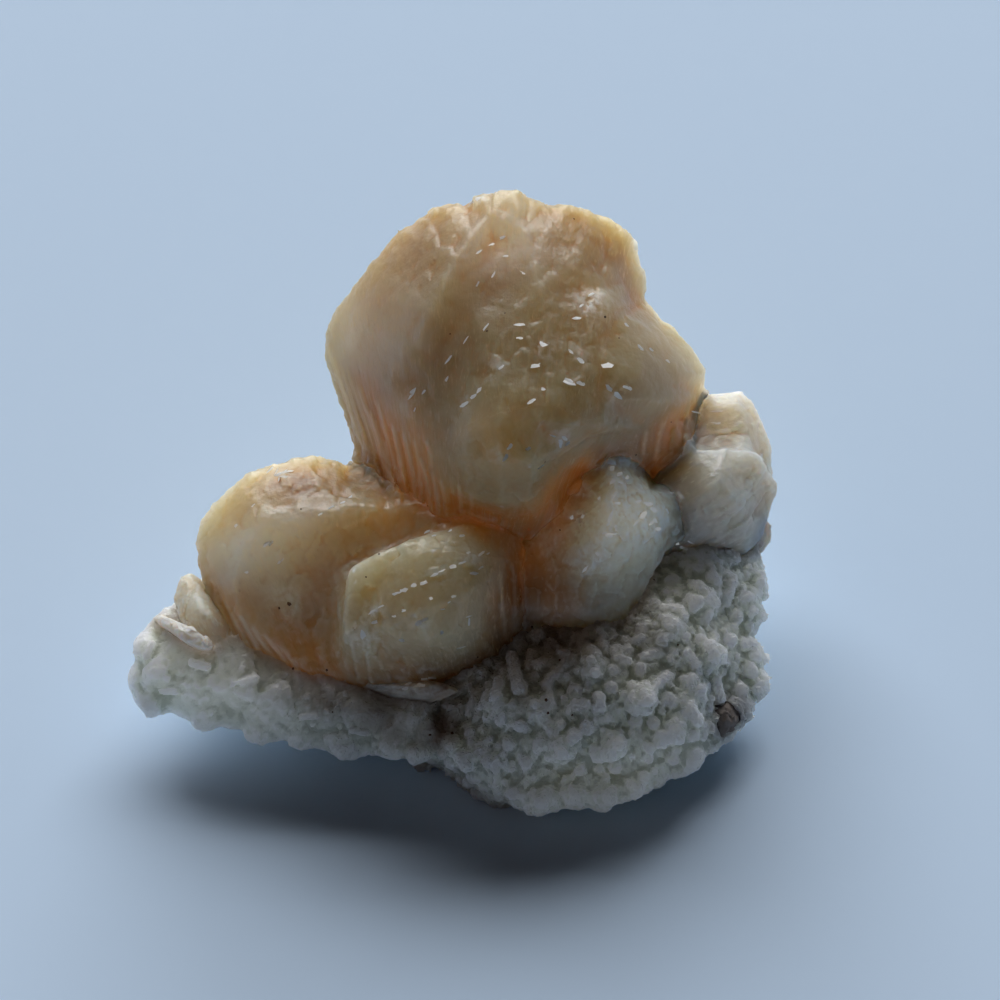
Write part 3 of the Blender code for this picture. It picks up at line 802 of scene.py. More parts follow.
CHUNK = [
    (455, 734, 7.5), (443, 743, 7.5), (448, 755, 8), (465, 768, 8), (480, 768, 8),
    (502, 766, 8), (510, 782, 8), (520, 798, 7.5), (533, 809, 7.5), (553, 807, 7),
    (563, 800, 7.5), (579, 801, 7), (599, 807, 6.5), (617, 803, 6), (642, 786, 5.5),
    (668, 773, 4.5), (704, 760, 3), (721, 746, 2), (755, 705, -2), (763, 698, -3),
    (763, 660, -4), (757, 640, -4.5), (757, 616, -5), (762, 588, -6), (762, 571, -7),
    (755, 545, -6), (700, 545, -1), (640, 585, 3), (560, 612, 5), (480, 660, 7),
    (520, 705, 10.5), (600, 722, 10), (680, 705, 7), (705, 640, 4), (640, 650, 8),
    (560, 660, 9),
    (W, 28, 10, 10), (W, 18, 16, 12), (W, -5, 16, 12), (W, -14, 11, 10),
    (W, -13, -9, -1.5), (W, -12, 10, -1.5), (W, 18, 13, -1.5), (W, 25, -4, -1.5),
    (W, 17, -21, -1.5), (W, 4, -23, -1.5), (W, -4, -18, -1.5),
]
BASALT = [
    (718, 748, 3), (735, 740, 2.5), (755, 725, 0), (758, 706, -1.5), (744, 698, 1),
    (726, 708, 4), (722, 722, 4.5), (738, 722, 3.5), (W, 24, -8, 1), (W, 27, -8, 4),
    (W, 22, -14, 1), (W, 20, -10, 4),
]

# faces towards the eye: outline, creases and single heights
MAIN_FRONT = Front(
    rim=[(476, 198, 5.5), (482, 195, 5.8), (496, 192, 6.3), (514, 190.5, 6.6), (524, 193, 6.4), (529, 199, 6.2), (540, 203, 5.8),
         (548, 207, 5.4), (555, 206, 5.0), (560, 203, 4.8), (568, 203, 4.5), (583, 207, 3.8), (592, 213, 3.4), (601, 217, 2.8), (609, 219, 2.4),
         (616, 225, 1.8), (626, 229, 1.2), (632, 235, .8), (635, 242, .4), (635, 250, .2), (638, 263, -.3), (645, 271, -.8), (645, 290, -1.0),
         (644, 302, -.6), (652, 310, -.8), (659, 318, -1.0), (665, 323, -1.1), (673, 326, -1.2), (680, 332, -1.3), (686, 334, -1.4), (691, 342, -1.6),
         (703, 358, -2.2), (710, 370, -2.6), (705, 382, -2.8), (697, 394, -3.0), (692, 409, -3.0), (694, 425, -3.0), (693, 451, -3.0, 3),
         (662, 472, -1.0, 3), (640, 468, 2.0, 3), (606, 464, 6.0, 3), (583, 472, 6.5, 3), (566, 492, 7.0, 3), (556, 518, 6.5, 3), (540, 528, 6.2, 3),
         (520, 531, 6.2, 3), (503, 527, 6.5, 3), (480, 522, 7.0, 3), (437, 520, 7.0, 3), (402, 504, 3.5, 4), (384, 487, -1.0, 5),
         (374, 476, -2.0), (366, 463, -2.2), (353, 435, -2.2), (340, 402, -2.2), (330, 379, -2.0), (325, 359, -1.8), (324, 346, -1.6),
         (327, 328, -1.2), (333, 313, -.8), (339, 304, -.6), (343, 300, -.4), (353, 286, 0), (361, 275, .2), (370, 262, .5), (381, 253, .8),
         (388, 243, 1.0), (394, 236, 1.2), (398, 229, 1.4), (404, 226, 1.6), (412, 226, 2.0), (417, 221, 2.2), (425, 217, 2.6), (427, 210, 2.7),
         (433, 206, 2.9), (443, 204, 3.5), (458, 204, 4.5), (464, 208, 4.8), (470, 206, 5.1)],
    chains=[
        # the ridge that leaves the apex to the left, and the one to its right
        [(505, 199, 7.6), (488, 214, 8.6), (472, 234, 9.6), (456, 258, 10.4), (444, 284, 11.0), (430, 312, 11.4), (418, 340, 11.3), (404, 352, 10.0), (388, 384, 7.4)],
        [(514, 197, 7.5), (524, 230, 9.7), (532, 262, 11.4), (540, 292, 12.9), (546, 322, 14.3)],
        # the grey shoulder: where the end turns into the striated flank
        [(324, 346, -1.6), (342, 356, 1.6), (362, 368, 4.2), (388, 384, 7.4), (408, 408, 9.4), (425, 431, 10.6), (432, 450, 10.8), (435, 470, 10.4), (440, 498, 9.0), (444, 514, 8.0)],
        # belly of the end, over the boss
        [(452, 372, 12.6), (468, 352, 13.4), (489, 334, 14.2), (522, 330, 14.8), (552, 342, 15.0), (580, 352, 14.6), (608, 364, 13.6), (632, 382, 12.0), (655, 400, 9.4), (684, 404, 3.4)],
        # top of the boss
        [(444, 432, 12.2), (455, 414, 13.6), (474, 398, 15.2), (498, 388, 16.6), (528, 388, 17.2), (560, 396, 17.0), (588, 408, 15.8), (602, 424, 14.2), (600, 440, 12.0)],
        # foot of the boss
        [(446, 488, 10.8), (470, 497, 12.4), (500, 504, 13.2), (530, 502, 12.8), (550, 488, 12.0), (566, 468, 12.4), (588, 450, 12.2), (600, 440, 12.0)],
        # the lobe's own ridge
        [(644, 302, -.2), (638, 322, 6.4), (634, 348, 9.8), (640, 372, 10.8), (655, 400, 9.4), (648, 432, 6.6), (640, 455, 4.6)],
        [(691, 345, -.4), (676, 362, 4.6), (668, 384, 6.6), (655, 400, 9.4)],
    ],
    dots=[(450, 218, 5.9), (420, 240, 5.1), (396, 262, 4.4), (372, 292, 4.0), (350, 320, 2.4), (400, 300, 7.8), (376, 330, 6.0), (352, 344, 3.0), (410, 330, 9.8),
          (492, 240, 9.3), (480, 272, 10.7), (470, 306, 11.9), (506, 290, 11.9), (510, 316, 13.6), (440, 350, 12.0), (430, 380, 11.4),
          (558, 226, 7.4), (590, 240, 6.2), (615, 256, 4.2), (628, 285, 3.2), (575, 268, 9.6), (600, 285, 8.6), (572, 292, 11.0), (606, 296, 10.0), (570, 312, 12.6), (606, 314, 11.2),
          (560, 250, 9.0), (622, 320, 9.0), (596, 338, 13.0), (500, 362, 15.6), (540, 368, 16.2), (578, 380, 15.8), (612, 398, 13.8), (470, 380, 14.0),
          (470, 430, 16.0), (500, 424, 18.0), (536, 420, 18.2), (570, 424, 17.0), (500, 460, 17.4), (534, 462, 17.0), (466, 462, 15.0), (562, 448, 15.4),
          (590, 462, 9.6), (574, 486, 8.4), (560, 508, 7.6), (510, 520, 9.2), (536, 518, 8.8), (480, 512, 9.4), (458, 508, 8.8),
          (662, 340, 5.0), (690, 376, 2.4), (675, 345, 2.4), (660, 365, 7.4), (694, 390, -.2), (670, 425, 3.4), (680, 450, .4), (655, 452, 3.6), (620, 448, 8.0),
          (350, 385, 1.6), (366, 420, 1.8), (384, 450, 2.4), (380, 410, 4.6), (398, 440, 5.8), (404, 478, 4.4), (420, 470, 7.6), (426, 500, 6.0)],
)
LEFT_FRONTS = Front(
    rim=[(384, 487, 2.4), (369, 475, .4), (354, 472, -.2), (345, 474, .2), (338, 463, -.4), (327, 460, -.6), (321, 454, -.8), (312, 453.5, -.7),
         (297, 457, -.3), (281, 461, .1), (272, 463, .3), (265, 466, .4), (249, 471, .5), (241, 475, .6), (236, 480, .6), (228, 490, .6), (217, 500, .6), (205, 513, .4), (199, 522, .3),
         (195, 530, .2), (191, 539, 0), (193, 546, .1), (197, 551, .3), (196, 564, .6), (194, 572, .8), (200, 581, 1.2), (205, 588, 1.6), (210, 601, 2.2), (219, 615, 2.6, 5),
         (228, 636, 3.0, 4), (249, 650, 4.0, 3), (272, 657, 4.6, 3), (295, 671, 5.0, 3), (313, 684, 5.2, 3), (345, 688, 6.0, 3), (362, 690, 6.2, 3),
         (400, 694, 6.0, 3), (440, 680, 6.8, 3), (476, 668, 6.0, 4), (490, 660, 5.8, 5), (502, 653, 5.6, 6), (516, 636, 5.4, 6), (527, 606, 5.2, 6), (527, 578, 5.4, 5),
         (518, 540, 6.0, 4), (498, 520, 6.0, 4), (472, 510, 6.2, 3), (440, 506, 6.4, 3), (414, 502, 5.4, 3), (398, 490, 4.0, 3)],
    chains=[
        # ridge of the rear crystal
        [(338, 466, .2), (341, 486, 3.0), (330, 500, 5.0), (310, 520, 6.8), (288, 540, 8.2), (268, 560, 8.8), (252, 586, 8.4), (240, 610, 6.6), (232, 632, 3.8)],
        # its second edge, lower right
        [(390, 512, 6.6), (366, 532, 9.8), (340, 556, 11.0), (318, 580, 11.2), (304, 606, 11.0), (296, 632, 9.6), (300, 656, 7.2), (313, 680, 5.6)],
        # the valley between the two
        [(412, 522, 10.2), (396, 538, 12.0), (376, 556, 12.6), (360, 580, 12.7), (349, 603, 12.4), (345, 632, 11.5), (350, 660, 9.2), (360, 684, 7.0)],
        # upper rim and shining edge of the front crystal
        [(374, 590, 12.6), (384, 602, 13.8), (400, 592, 14.6), (416, 583, 15.2), (436, 573, 15.4), (456, 564, 14.8), (474, 557, 13.6), (490, 552, 11.6), (504, 556, 9.4)],
        [(374, 590, 12.9), (388, 566, 12.9), (406, 548, 13.3), (424, 538, 13.0), (448, 534, 12.4), (474, 538, 11.8), (490, 552, 11.6)],
        [(384, 602, 13.8), (370, 616, 13.0), (366, 640, 12.0), (370, 668, 9.6)],
        [(490, 552, 11.6), (486, 580, 12.8), (484, 606, 12.6), (482, 630, 11.4), (478, 652, 8.8)],
    ],
    dots=[(430, 520, 10.2), (460, 522, 10.0), (490, 534, 9.2), (306, 476, 2.0), (290, 486, 3.6), (266, 490, 3.6), (246, 500, 3.4), (226, 526, 3.0), (212, 552, 3.2), (220, 580, 4.4), (226, 604, 4.6), (262, 520, 6.0), (240, 548, 5.8),
          (300, 500, 5.0), (360, 500, 5.4), (350, 520, 7.8), (326, 540, 9.2), (300, 566, 10.0), (280, 588, 10.0), (268, 612, 8.6), (258, 636, 6.0), (282, 640, 7.4),
          (330, 602, 11.7), (322, 630, 10.7), (328, 656, 8.5), (345, 672, 7.6), (350, 566, 11.7),
          (420, 556, 14.6), (450, 550, 14.2), (400, 570, 14.0), (404, 618, 15.4), (432, 606, 16.2), (462, 596, 15.8), (400, 642, 13.8), (430, 640, 14.6), (458, 630, 14.2),
          (382, 630, 13.2), (380, 656, 10.6), (410, 668, 10.2), (444, 662, 10.2), (462, 648, 11.4), (506, 580, 9.2), (510, 608, 8.4), (500, 634, 8.0), (492, 648, 7.4)],
)
FROSTED_FRONT = Front(
    rim=[(606, 462, 7.6), (612, 460, 8.2), (622, 464, 7.8), (631, 472, 7.0), (641, 480, 6.4), (650, 489, 5.8), (658, 494, 5.2), (667, 502, 4.4), (674, 514, 3.0), (679, 523, 2.2),
         (676, 532, 2.4, 5), (669, 543, 3.4, 4), (662, 560, 4.0, 3), (655, 580, 4.0, 3), (648, 598, 4.4, 3), (628, 624, 5.0, 3), (594, 630, 6.0, 3), (545, 626, 6.0, 3), (512, 642, 4.6, 3),
         (503, 620, 4.6, 3), (505, 590, 4.6, 3), (512, 562, 5.0, 3), (530, 545, 5.0, 3), (546, 520, 5.6, 3), (562, 500, 6.2, 3), (582, 478, 7.0, 3)],
    chains=[
        [(611, 463, 8.8), (615, 482, 10.4), (611, 506, 11.6), (608, 532, 12.2), (600, 556, 11.4), (590, 574, 9.6), (586, 584, 8.6)],
        [(544, 542, 7.4), (556, 560, 8.4), (572, 574, 8.8), (590, 580, 8.8), (612, 578, 8.6), (636, 568, 7.6), (654, 557, 6.2), (668, 542, 4.4)],
        [(631, 474, 7.6), (648, 494, 7.8), (660, 510, 7.0), (672, 522, 4.6)],
        [(648, 494, 7.8), (636, 504, 9.4), (626, 530, 10.8), (622, 552, 10.4), (612, 578, 8.6)],
    ],
    dots=[(600, 480, 8.6), (590, 500, 8.8), (576, 515, 8.8), (560, 532, 8.4), (592, 524, 10.2), (580, 548, 10.0), (572, 562, 9.4), (594, 546, 11.0),
          (628, 490, 9.4), (622, 510, 10.8), (645, 520, 9.0), (655, 535, 7.0), (640, 545, 8.8), (660, 522, 6.6),
          (520, 575, 6.4), (520, 604, 6.6), (546, 588, 8.0), (546, 610, 7.6), (572, 596, 8.4), (575, 616, 7.4), (602, 602, 8.0), (602, 618, 7.0), (628, 590, 7.0), (642, 584, 5.8), (540, 562, 7.0)],
)

# bright ledges on the sheaves: right, down, slope in degrees, long, wide (layout steps)
MAIN_LEDGES = [
    (497, 243, 35, 17, 4), (481, 252, 30, 8, 3), (507, 258, 0, 6, 4), (524, 275, -35, 7, 3), (492, 275, 50, 8, 3), (478, 285, 75, 7, 3),
    (487, 297, 0, 5, 3), (486, 326, 52, 12, 4), (519, 324, 4, 14, 4), (464, 340, 60, 12, 3), (524, 336, 8, 16, 5), (549, 348, -32, 19, 6),
    (577, 357, -38, 19, 5), (605, 366, -5, 14, 7), (538, 367, 18, 13, 6), (489, 366, -45, 10, 4), (500, 369, 40, 10, 4), (449, 360, 55, 12, 4),
    (448, 380, 60, 7, 3), (568, 380, -20, 13, 6), (582, 382, -12, 10, 4), (612, 391, -42, 20, 7), (629, 388, -25, 14, 4), (643, 401, -30, 9, 4),
    (480, 389, 45, 9, 4), (463, 404, 35, 15, 6), (474, 396, 40, 8, 4), (412, 396, 55, 20, 5), (425, 393, 60, 6, 3), (416, 410, 55, 6, 3),
    (532, 403, 25, 13, 5), (523, 389, 30, 6, 3), (544, 391, 10, 8, 4), (555, 433, 30, 10, 4), (564, 436, -40, 9, 4), (560, 443, 80, 9, 4),
    (553, 437, -15, 6, 3), (567, 444, 20, 7, 3), (565, 417, -30, 6, 3), (507, 454, 55, 19, 5), (530, 447, 30, 6, 4), (541, 468, 30, 8, 3),
    (578, 317, -10, 12, 4), (626, 325, -30, 8, 3), (641, 346, -60, 8, 4), (650, 352, -45, 6, 3), (668, 360, -40, 5, 3), (590, 296, 25, 10, 6),
    (600, 303, -45, 10, 6), (583, 303, 40, 9, 5), (470, 203, 20, 8, 4), (479, 199, 25, 10, 5), (488, 197, 5, 6, 4), (463, 207, 25, 7, 3),
]
LEFT_LEDGES = [
    (276, 471, 60, 14, 3), (282, 474, 35, 16, 3), (289, 472, 20, 15, 3), (286, 479, 5, 12, 3), (278, 480, 80, 9, 3), (269, 468, 40, 9, 3),
    (252, 503, 50, 6, 3), (235, 524, 40, 5, 3), (266, 547, 30, 10, 5), (273, 543, 40, 7, 4), (277, 565, 45, 8, 4), (281, 559, 45, 6, 3),
    (248, 570, 20, 5, 3), (344, 500, 30, 10, 3), (332, 508, 35, 9, 3), (319, 516, 30, 8, 3), (309, 586, 10, 4, 3), (352, 496, 30, 7, 3),
    (396, 594, 30, 10, 4), (405, 588, 25, 8, 4), (415, 585, 25, 8, 4), (424, 581, 25, 9, 4), (433, 577, 20, 9, 4), (443, 571, 20, 9, 4),
    (452, 566, 20, 9, 5), (461, 563, 15, 8, 4), (470, 558, 20, 10, 5), (481, 554, 42, 10, 4), (468, 552, 10, 7, 3), (487, 553, 35, 6, 3),
    (475, 572, 10, 13, 6), (481, 566, 20, 8, 4), (425, 533, 15, 6, 3), (434, 536, 20, 5, 3), (441, 532, 15, 6, 3), (450, 531, 10, 7, 3),
    (461, 536, 10, 5, 3), (421, 622, 22, 20, 8), (402, 610, 30, 7, 4), (392, 615, 10, 6, 3), (403, 640, 15, 8, 4), (371, 612, 40, 12, 6),
    (379, 608, 20, 9, 5), (368, 619, 60, 9, 5), (374, 622, 10, 9, 4), (364, 636, 80, 12, 6), (441, 632, 60, 5, 3), (469, 614, 5, 7, 3),
    (470, 620, 85, 10, 3), (461, 645, 0, 11, 3), (448, 603, 30, 5, 3), (455, 596, 20, 5, 3), (430, 598, 30, 5, 3), (443, 610, 25, 5, 3),
    (415, 683, 8, 16, 4), (428, 680, 10, 18, 5), (420, 687, 8, 14, 4), (405, 690, 5, 10, 4),
]
FROSTED_LEDGES = [
    (612, 470, 70, 9, 4), (618, 474, 20, 8, 4), (624, 470, -50, 8, 4), (614, 480, 50, 8, 5), (621, 482, -20, 8, 4), (628, 478, 30, 6, 4),
    (616, 496, 60, 12, 5), (618, 503, 10, 8, 4), (609, 515, 75, 14, 5), (608, 524, 60, 9, 4), (612, 533, 5, 16, 4), (603, 533, 30, 7, 3),
    (640, 500, 10, 9, 5), (647, 504, -20, 10, 5), (654, 509, -30, 10, 5), (644, 514, 20, 12, 5), (655, 519, -10, 10, 6), (664, 521, 10, 12, 7),
    (667, 514, -60, 9, 5), (650, 525, 20, 9, 5), (638, 521, 30, 9, 4), (660, 529, 0, 8, 5), (586, 553, 70, 9, 4), (589, 562, 60, 12, 5),
    (584, 570, 50, 9, 4), (578, 576, 60, 9, 4), (573, 518, 60, 5, 3), (582, 516, 70, 6, 3), (600, 500, 60, 6, 3), (596, 553, 20, 6, 4),
]
OTHER_LEDGES = [
    (712, 410, 1, 26, 2), (706, 414, 2, 24, 2), (716, 424, -3, 16, 2), (724, 489, -8, 14, 3), (742, 431, 60, 8, 3), (757, 447, 60, 7, 3),
    (765, 462, 70, 7, 3), (765, 535, 60, 9, 6), (758, 547, 45, 9, 4), (770, 528, 80, 7, 4), (176, 624, -32, 22, 3), (184, 630, -34, 24, 3),
    (190, 637, -34, 22, 3), (197, 634, -32, 20, 3), (168, 618, -30, 14, 3), (205, 643, -30, 12, 3), (160, 619, -25, 9, 3),
    (676, 545, -20, 12, 4), (686, 549, -24, 14, 4), (696, 553, -28, 14, 4), (706, 560, -30, 13, 4), (690, 541, -18, 10, 3), (700, 566, -30, 9, 4),
]
# druse crystals seen on their ends: right, down, across (layout steps)
DRUSE_ENDS = [
    (547, 702, 15), (576, 691, 15), (577, 704, 12), (553, 728, 16), (587, 727, 14), (539, 744, 15), (561, 753, 13), (599, 754, 16), (662, 739, 17),
    (545, 719, 11), (571, 738, 11), (600, 706, 11), (620, 745, 12), (636, 720, 12), (648, 700, 13), (612, 688, 11), (595, 672, 10), (640, 668, 12),
    (668, 700, 14), (690, 712, 14), (662, 640, 13), (628, 650, 11), (700, 640, 12), (715, 655, 12), (730, 640, 14), (748, 668, 14), (741, 690, 13),
    (724, 600, 16), (736, 617, 14), (744, 597, 12), (712, 577, 12), (672, 580, 12), (690, 600, 13), (655, 605, 12), (705, 618, 12), (727, 575, 11),
    (520, 725, 12), (508, 744, 12), (526, 762, 13), (482, 748, 13), (470, 733, 11), (500, 720, 11), (580, 770, 11), (615, 768, 12), (538, 665, 11),
    (566, 655, 10), (590, 650, 10), (612, 636, 11), (552, 676, 9), (641, 628, 10), (462, 758, 12), (450, 747, 9), (488, 762, 11), (693, 735, 12),
    (672, 758, 12), (710, 728, 10), (648, 758, 10), (754, 655, 12), (757, 690, 11), (760, 582, 10), (700, 690, 12),
]
# and those lying along it: right, down, slope, long (mm), across (mm)
DRUSE_RODS = [
    (515, 674, 98, 5.2, 1.3), (531, 660, 100, 2.6, .8), (548, 690, 110, 2.0, .8), (497, 690, 95, 3.0, .9), (486, 700, 80, 2.4, .8), (472, 706, 70, 2.2, .8),
    (684, 547, -22, 4.2, .65), (694, 553, -25, 4.0, .65), (702, 561, -30, 3.4, .6), (680, 556, -20, 2.6, .55), (712, 556, -38, 2.4, .6), (690, 566, -25, 2.4, .6),
    (672, 610, 12, 2.6, .9), (636, 640, 25, 2.2, .8), (728, 586, 40, 2.8, 1.2), (745, 645, 15, 2.4, 1.2), (622, 660, -10, 2.2, .9), (650, 655, 20, 2.6, .9),
    (660, 680, 35, 2.6, 1.1), (600, 640, 60, 1.9, .8), (555, 645, 120, 2.0, .7), (690, 660, -40, 2.6, 1.1), (716, 690, -60, 2.8, 1.2), (575, 640, 75, 1.8, .7),
    (250, 680, 20, 2.2, .8), (200, 665, -15, 2.4, .9), (170, 690, 10, 2.2, .8), (310, 715, 15, 2.2, .8), (360, 730, -10, 2.2, .8), (150, 650, 70, 2.2, .9),
]
chance = np.random.default_rng(41)


class Basalt(Rock):
    lump, lump_size, crust, crust_size, fine = .2, 3.0, .22, 1.1, .08


MAIN_FRONT.strokes([
    (326, 346, 374, 474, 2.2, .30), (331, 350, 371, 466, 1.8, .22), (339, 362, 378, 474, 2.2, .34), (348, 370, 385, 486, 2.0, .30),
    (357, 382, 391, 484, 2.4, .36), (367, 408, 401, 498, 2.0, .30), (376, 400, 404, 492, 1.7, .20), (392, 425, 410, 498, 2.2, .34),
    (404, 431, 418, 501, 2.4, .34), (414, 440, 425, 506, 1.8, .22), (421, 456, 433, 511, 2.2, .32), (432, 470, 441, 514, 2.0, .26),
    (440, 479, 448, 515, 2.0, .28), (458, 484, 463, 514, 2.0, .24), (427, 440, 432, 470, 1.8, .22), (345, 392, 362, 448, 1.6, .2),
    (384, 440, 398, 490, 1.6, .22), (470, 492, 473, 516, 1.8, .18), (663, 420, 655, 466, 2.2, .22), (676, 418, 670, 458, 2.0, .22),
    (686, 410, 684, 450, 2.0, .2), (648, 430, 642, 462, 2.0, .18),
], chance)
LEFT_FRONTS.strokes([
    (203, 586, 228, 640, 2.2, .26), (212, 590, 238, 646, 2.2, .26), (224, 600, 250, 650, 2.0, .24), (236, 612, 262, 655, 2.2, .26),
    (250, 624, 276, 662, 2.0, .24), (264, 632, 290, 670, 2.2, .26), (280, 644, 302, 678, 2.0, .22), (352, 640, 358, 684, 2.2, .2),
    (366, 650, 372, 690, 2.0, .2), (510, 560, 516, 620, 2.4, .22), (500, 570, 505, 640, 2.2, .2), (520, 570, 521, 610, 2.0, .2),
], chance)

class Sugar(Rock):
    """Finer, smoother matrix."""

    lump, lump_size, crust, crust_size, fine = .5, 4.4, .12, 1.3, .05


PIECES = {
    "main_sheaf": Piece([
        Block(MAIN_CORE, (2, -11, -6), (2, 33, 48), thick=2.0, wide=4.2, ends=.26, sides=.12, swell=.24, reach=46, seed=1, push=4, grow=.35, rag=.07),
        Block(MAIN_BOSS, (4, 4, 6), (2, -20, 16), side=(1, 0, .3), thick=1.9, wide=3.4, ends=.22, sides=.14, swell=.2, reach=22, seed=2, push=4, grow=.3, rag=.08),
        Block(MAIN_LOBE, (6, -2, 4), (16, 8, 26), side=(.6, -.8, 0), thick=1.8, wide=3.6, ends=.26, sides=.16, swell=.2, reach=30, seed=3, push=4, grow=.35, rag=.08),
        Block(MAIN_WEDGE, (2, -4, 0), (18, 8, 16), side=(.3, -.9, .3), thick=1.1, wide=2.6, ends=.24, sides=.18, reach=26, swell=.15, seed=4, push=1),
    ], blend=1.4, front=MAIN_FRONT),
    "left_sheaves": Piece([
        Block(LEFT_REAR, (-4, -4, -6), (-14, 4, 24), side=(.8, 0, .4), thick=1.8, wide=3.4, ends=.24, sides=.12, swell=.2, reach=28, seed=5, push=4, grow=.35, rag=.12),
        Block(LEFT_FRONT, (2, -2, -2), (-8, -14, 16), side=(.8, -.2, .4), thick=1.7, wide=3.0, ends=.24, sides=.14, swell=.2, reach=22, seed=6, push=4, grow=.3, rag=.12),
    ], blend=4.2, front=LEFT_FRONTS),
    "frosted_sheaf": Piece([
        Block(FROSTED, (8, 2, 4), (10, -8, 16), side=(.8, .3, -.4), thick=1.4, wide=2.2, ends=.34, sides=.20, grain=.09, reach=18, swell=.15, seed=7, push=3, grow=.3, rag=.2),
        Block(FROSTED_ROOT, (8, 4, 0), (5, -8, 16), side=(1, 0, 0), thick=1.6, wide=3.0, ends=.24, sides=.16, reach=20, swell=.2, seed=8, push=3, rag=.16),
    ], blend=1.4, front=FROSTED_FRONT),
    "rear_right_sheaf": Piece([
        Block(REAR_UPPER, (-6, 12, 16), (30, 3, 8), side=(0, .5, .85), thick=1.1, wide=2.8, ends=.34, sides=.22, reach=36, swell=.2, seed=9, soft=8, grow=.1),
        Block(REAR_LOWER, (12, 10, 2), (14, -6, 14), side=(-.3, .4, .85), thick=1.0, wide=3.0, ends=.34, sides=.24, reach=20, seed=10, soft=8, grow=.1),
    ], blend=5.0),
    "pale_blade": Piece([Block(BLADE, (-18, -10, 2), (10, -6, 4), side=(0, .5, .8), thick=.8, wide=2, ends=.12, sides=.10, swell=.1, reach=14, seed=12)]),
    "rear_tip": Piece([Block(REAR_TIP, (-10, 10, 2), (0, 3, 10), thick=1, wide=2, ends=.15, sides=.1, swell=.1, reach=12, seed=13)]),
    "edge_sheaf": Piece([Block(EDGE_SHEAF, (-22, -4, 2), (-8, 1, 10), thick=1, wide=2, ends=.18, sides=.1, swell=.12, reach=14, seed=14)]),
    "edge_blade": Piece([Block(EDGE_BLADE, (-22, -14, 4), (-10, 3, 6), side=(.3, -.6, .7), thick=.7, wide=2.4, ends=.14, sides=.14, swell=.08, reach=12, seed=15)]),
    "right_tip": Piece([Block(RIGHT_TIP, (24, 2, 6), (5, 1, 8), thick=.9, wide=1.6, ends=.15, sides=.1, swell=.08, reach=9, seed=16)]),
    "basalt_remnant": Piece([Basalt(BASALT, (0, 0, 0), (0, 0, 1), swell=.2, seed=17, grow=-.35)]),
    "druse_matrix": Piece([
        Sugar(WING, (0, 0, 0), (0, 0, 1), swell=.4, seed=18),
        Rock(CHUNK, (0, 0, 0), (0, 0, 1), swell=.4, seed=19),
    ] + [Knob(*k, seed=60 + i) for i, k in enumerate([
        (753, 684, -3.2, 1.7), (750, 655, -4.0, 1.5), (746, 612, -5, 1.4), (752, 588, -6, 1.5),
        (738, 705, -.5, 1.3), (540, 795, 7.2, 1.9), (602, 795, 6.6, 1.7), (575, 792, 7.2, 1.5),
        (632, 785, 5.8, 1.5), (690, 757, 4.0, 1.5), (468, 757, 8.0, 1.5), (452, 744, 7.6, 1.1),
        (498, 758, 8.4, 1.5), (418, 752, 6.0, 1.3), (345, 745, 4.2, 1.6), (392, 743, 5.4, 1.5),
        (300, 735, 3.2, 1.4), (258, 732, 2.4, 1.4), (205, 716, 1.4, 1.5), (152, 700, .8, 1.7),
        (141, 676, .4, 1.5), (146, 648, 1.0, 1.5), (706, 655, 3.2, 1.9), (668, 628, 5.2, 1.8),
        (700, 600, 1.6, 1.9), (590, 668, 8.8, 1.7), (640, 700, 8.6, 1.8), (560, 745, 9.2, 1.9),
        (500, 705, 9.2, 1.6), (672, 730, 6.4, 1.7), (612, 745, 8.4, 1.7)])], blend=1.0),
}
RELIEF = {
    "left_sheaves": ["main_sheaf"],
    "frosted_sheaf": ["main_sheaf", "left_sheaves"],
    "rear_right_sheaf": ["main_sheaf", "frosted_sheaf", "right_tip"],
    "pale_blade": ["left_sheaves"],
    "rear_tip": ["main_sheaf", "left_sheaves"],
    "edge_sheaf": ["left_sheaves"],
    "edge_blade": ["edge_sheaf", "left_sheaves"],
    "druse_matrix": ["main_sheaf", "left_sheaves", "frosted_sheaf", "rear_right_sheaf", "pale_blade",
                     "rear_tip", "edge_sheaf", "edge_blade", "right_tip", "basalt_remnant"],
}
GRAIN_MM = {"main_sheaf": .197, "left_sheaves": .19, "frosted_sheaf": .17, "rear_right_sheaf": .19, "pale_blade": .16,
            "rear_tip": .2, "edge_sheaf": .16, "edge_blade": .14, "right_tip": .16, "basalt_remnant": .2,
            "druse_matrix": .275}
SEAM = .08                          # mm left between neighbours
CRYSTALS = ("main_sheaf", "left_sheaves", "frosted_sheaf", "rear_right_sheaf")
CLEFT = .04                         # mm left between crystals grown together
CORNER = 4.4                        # how softly they run into each other, in mm
FILLET = {"druse_matrix": 1.6}      # how far the crust grows up the crystals
FANS = {"main_sheaf": Fan(16), "left_sheaves": Fan(14), "frosted_sheaf": Fan(11), "rear_right_sheaf": Fan(4), "druse_matrix": Fan(9)}


def crystals(names, p, k=CORNER):
    """The nearest and the second nearest of the named crystals' fields."""
    a, b = np.full(len(p), 99, F), np.full(len(p), 99, F)
    for other in names:
        o = PIECES[other]
        by = ((p > o.lo - k) & (p < o.hi + k)).all(1)
        if by.any():
            by[by] = o.base(p[by]) < k
        if by.any():
            r = o(p[by])
            b[by] = np.minimum(b[by], np.maximum(a[by], r))
            a[by] = np.minimum(a[by], r)
    return a, b


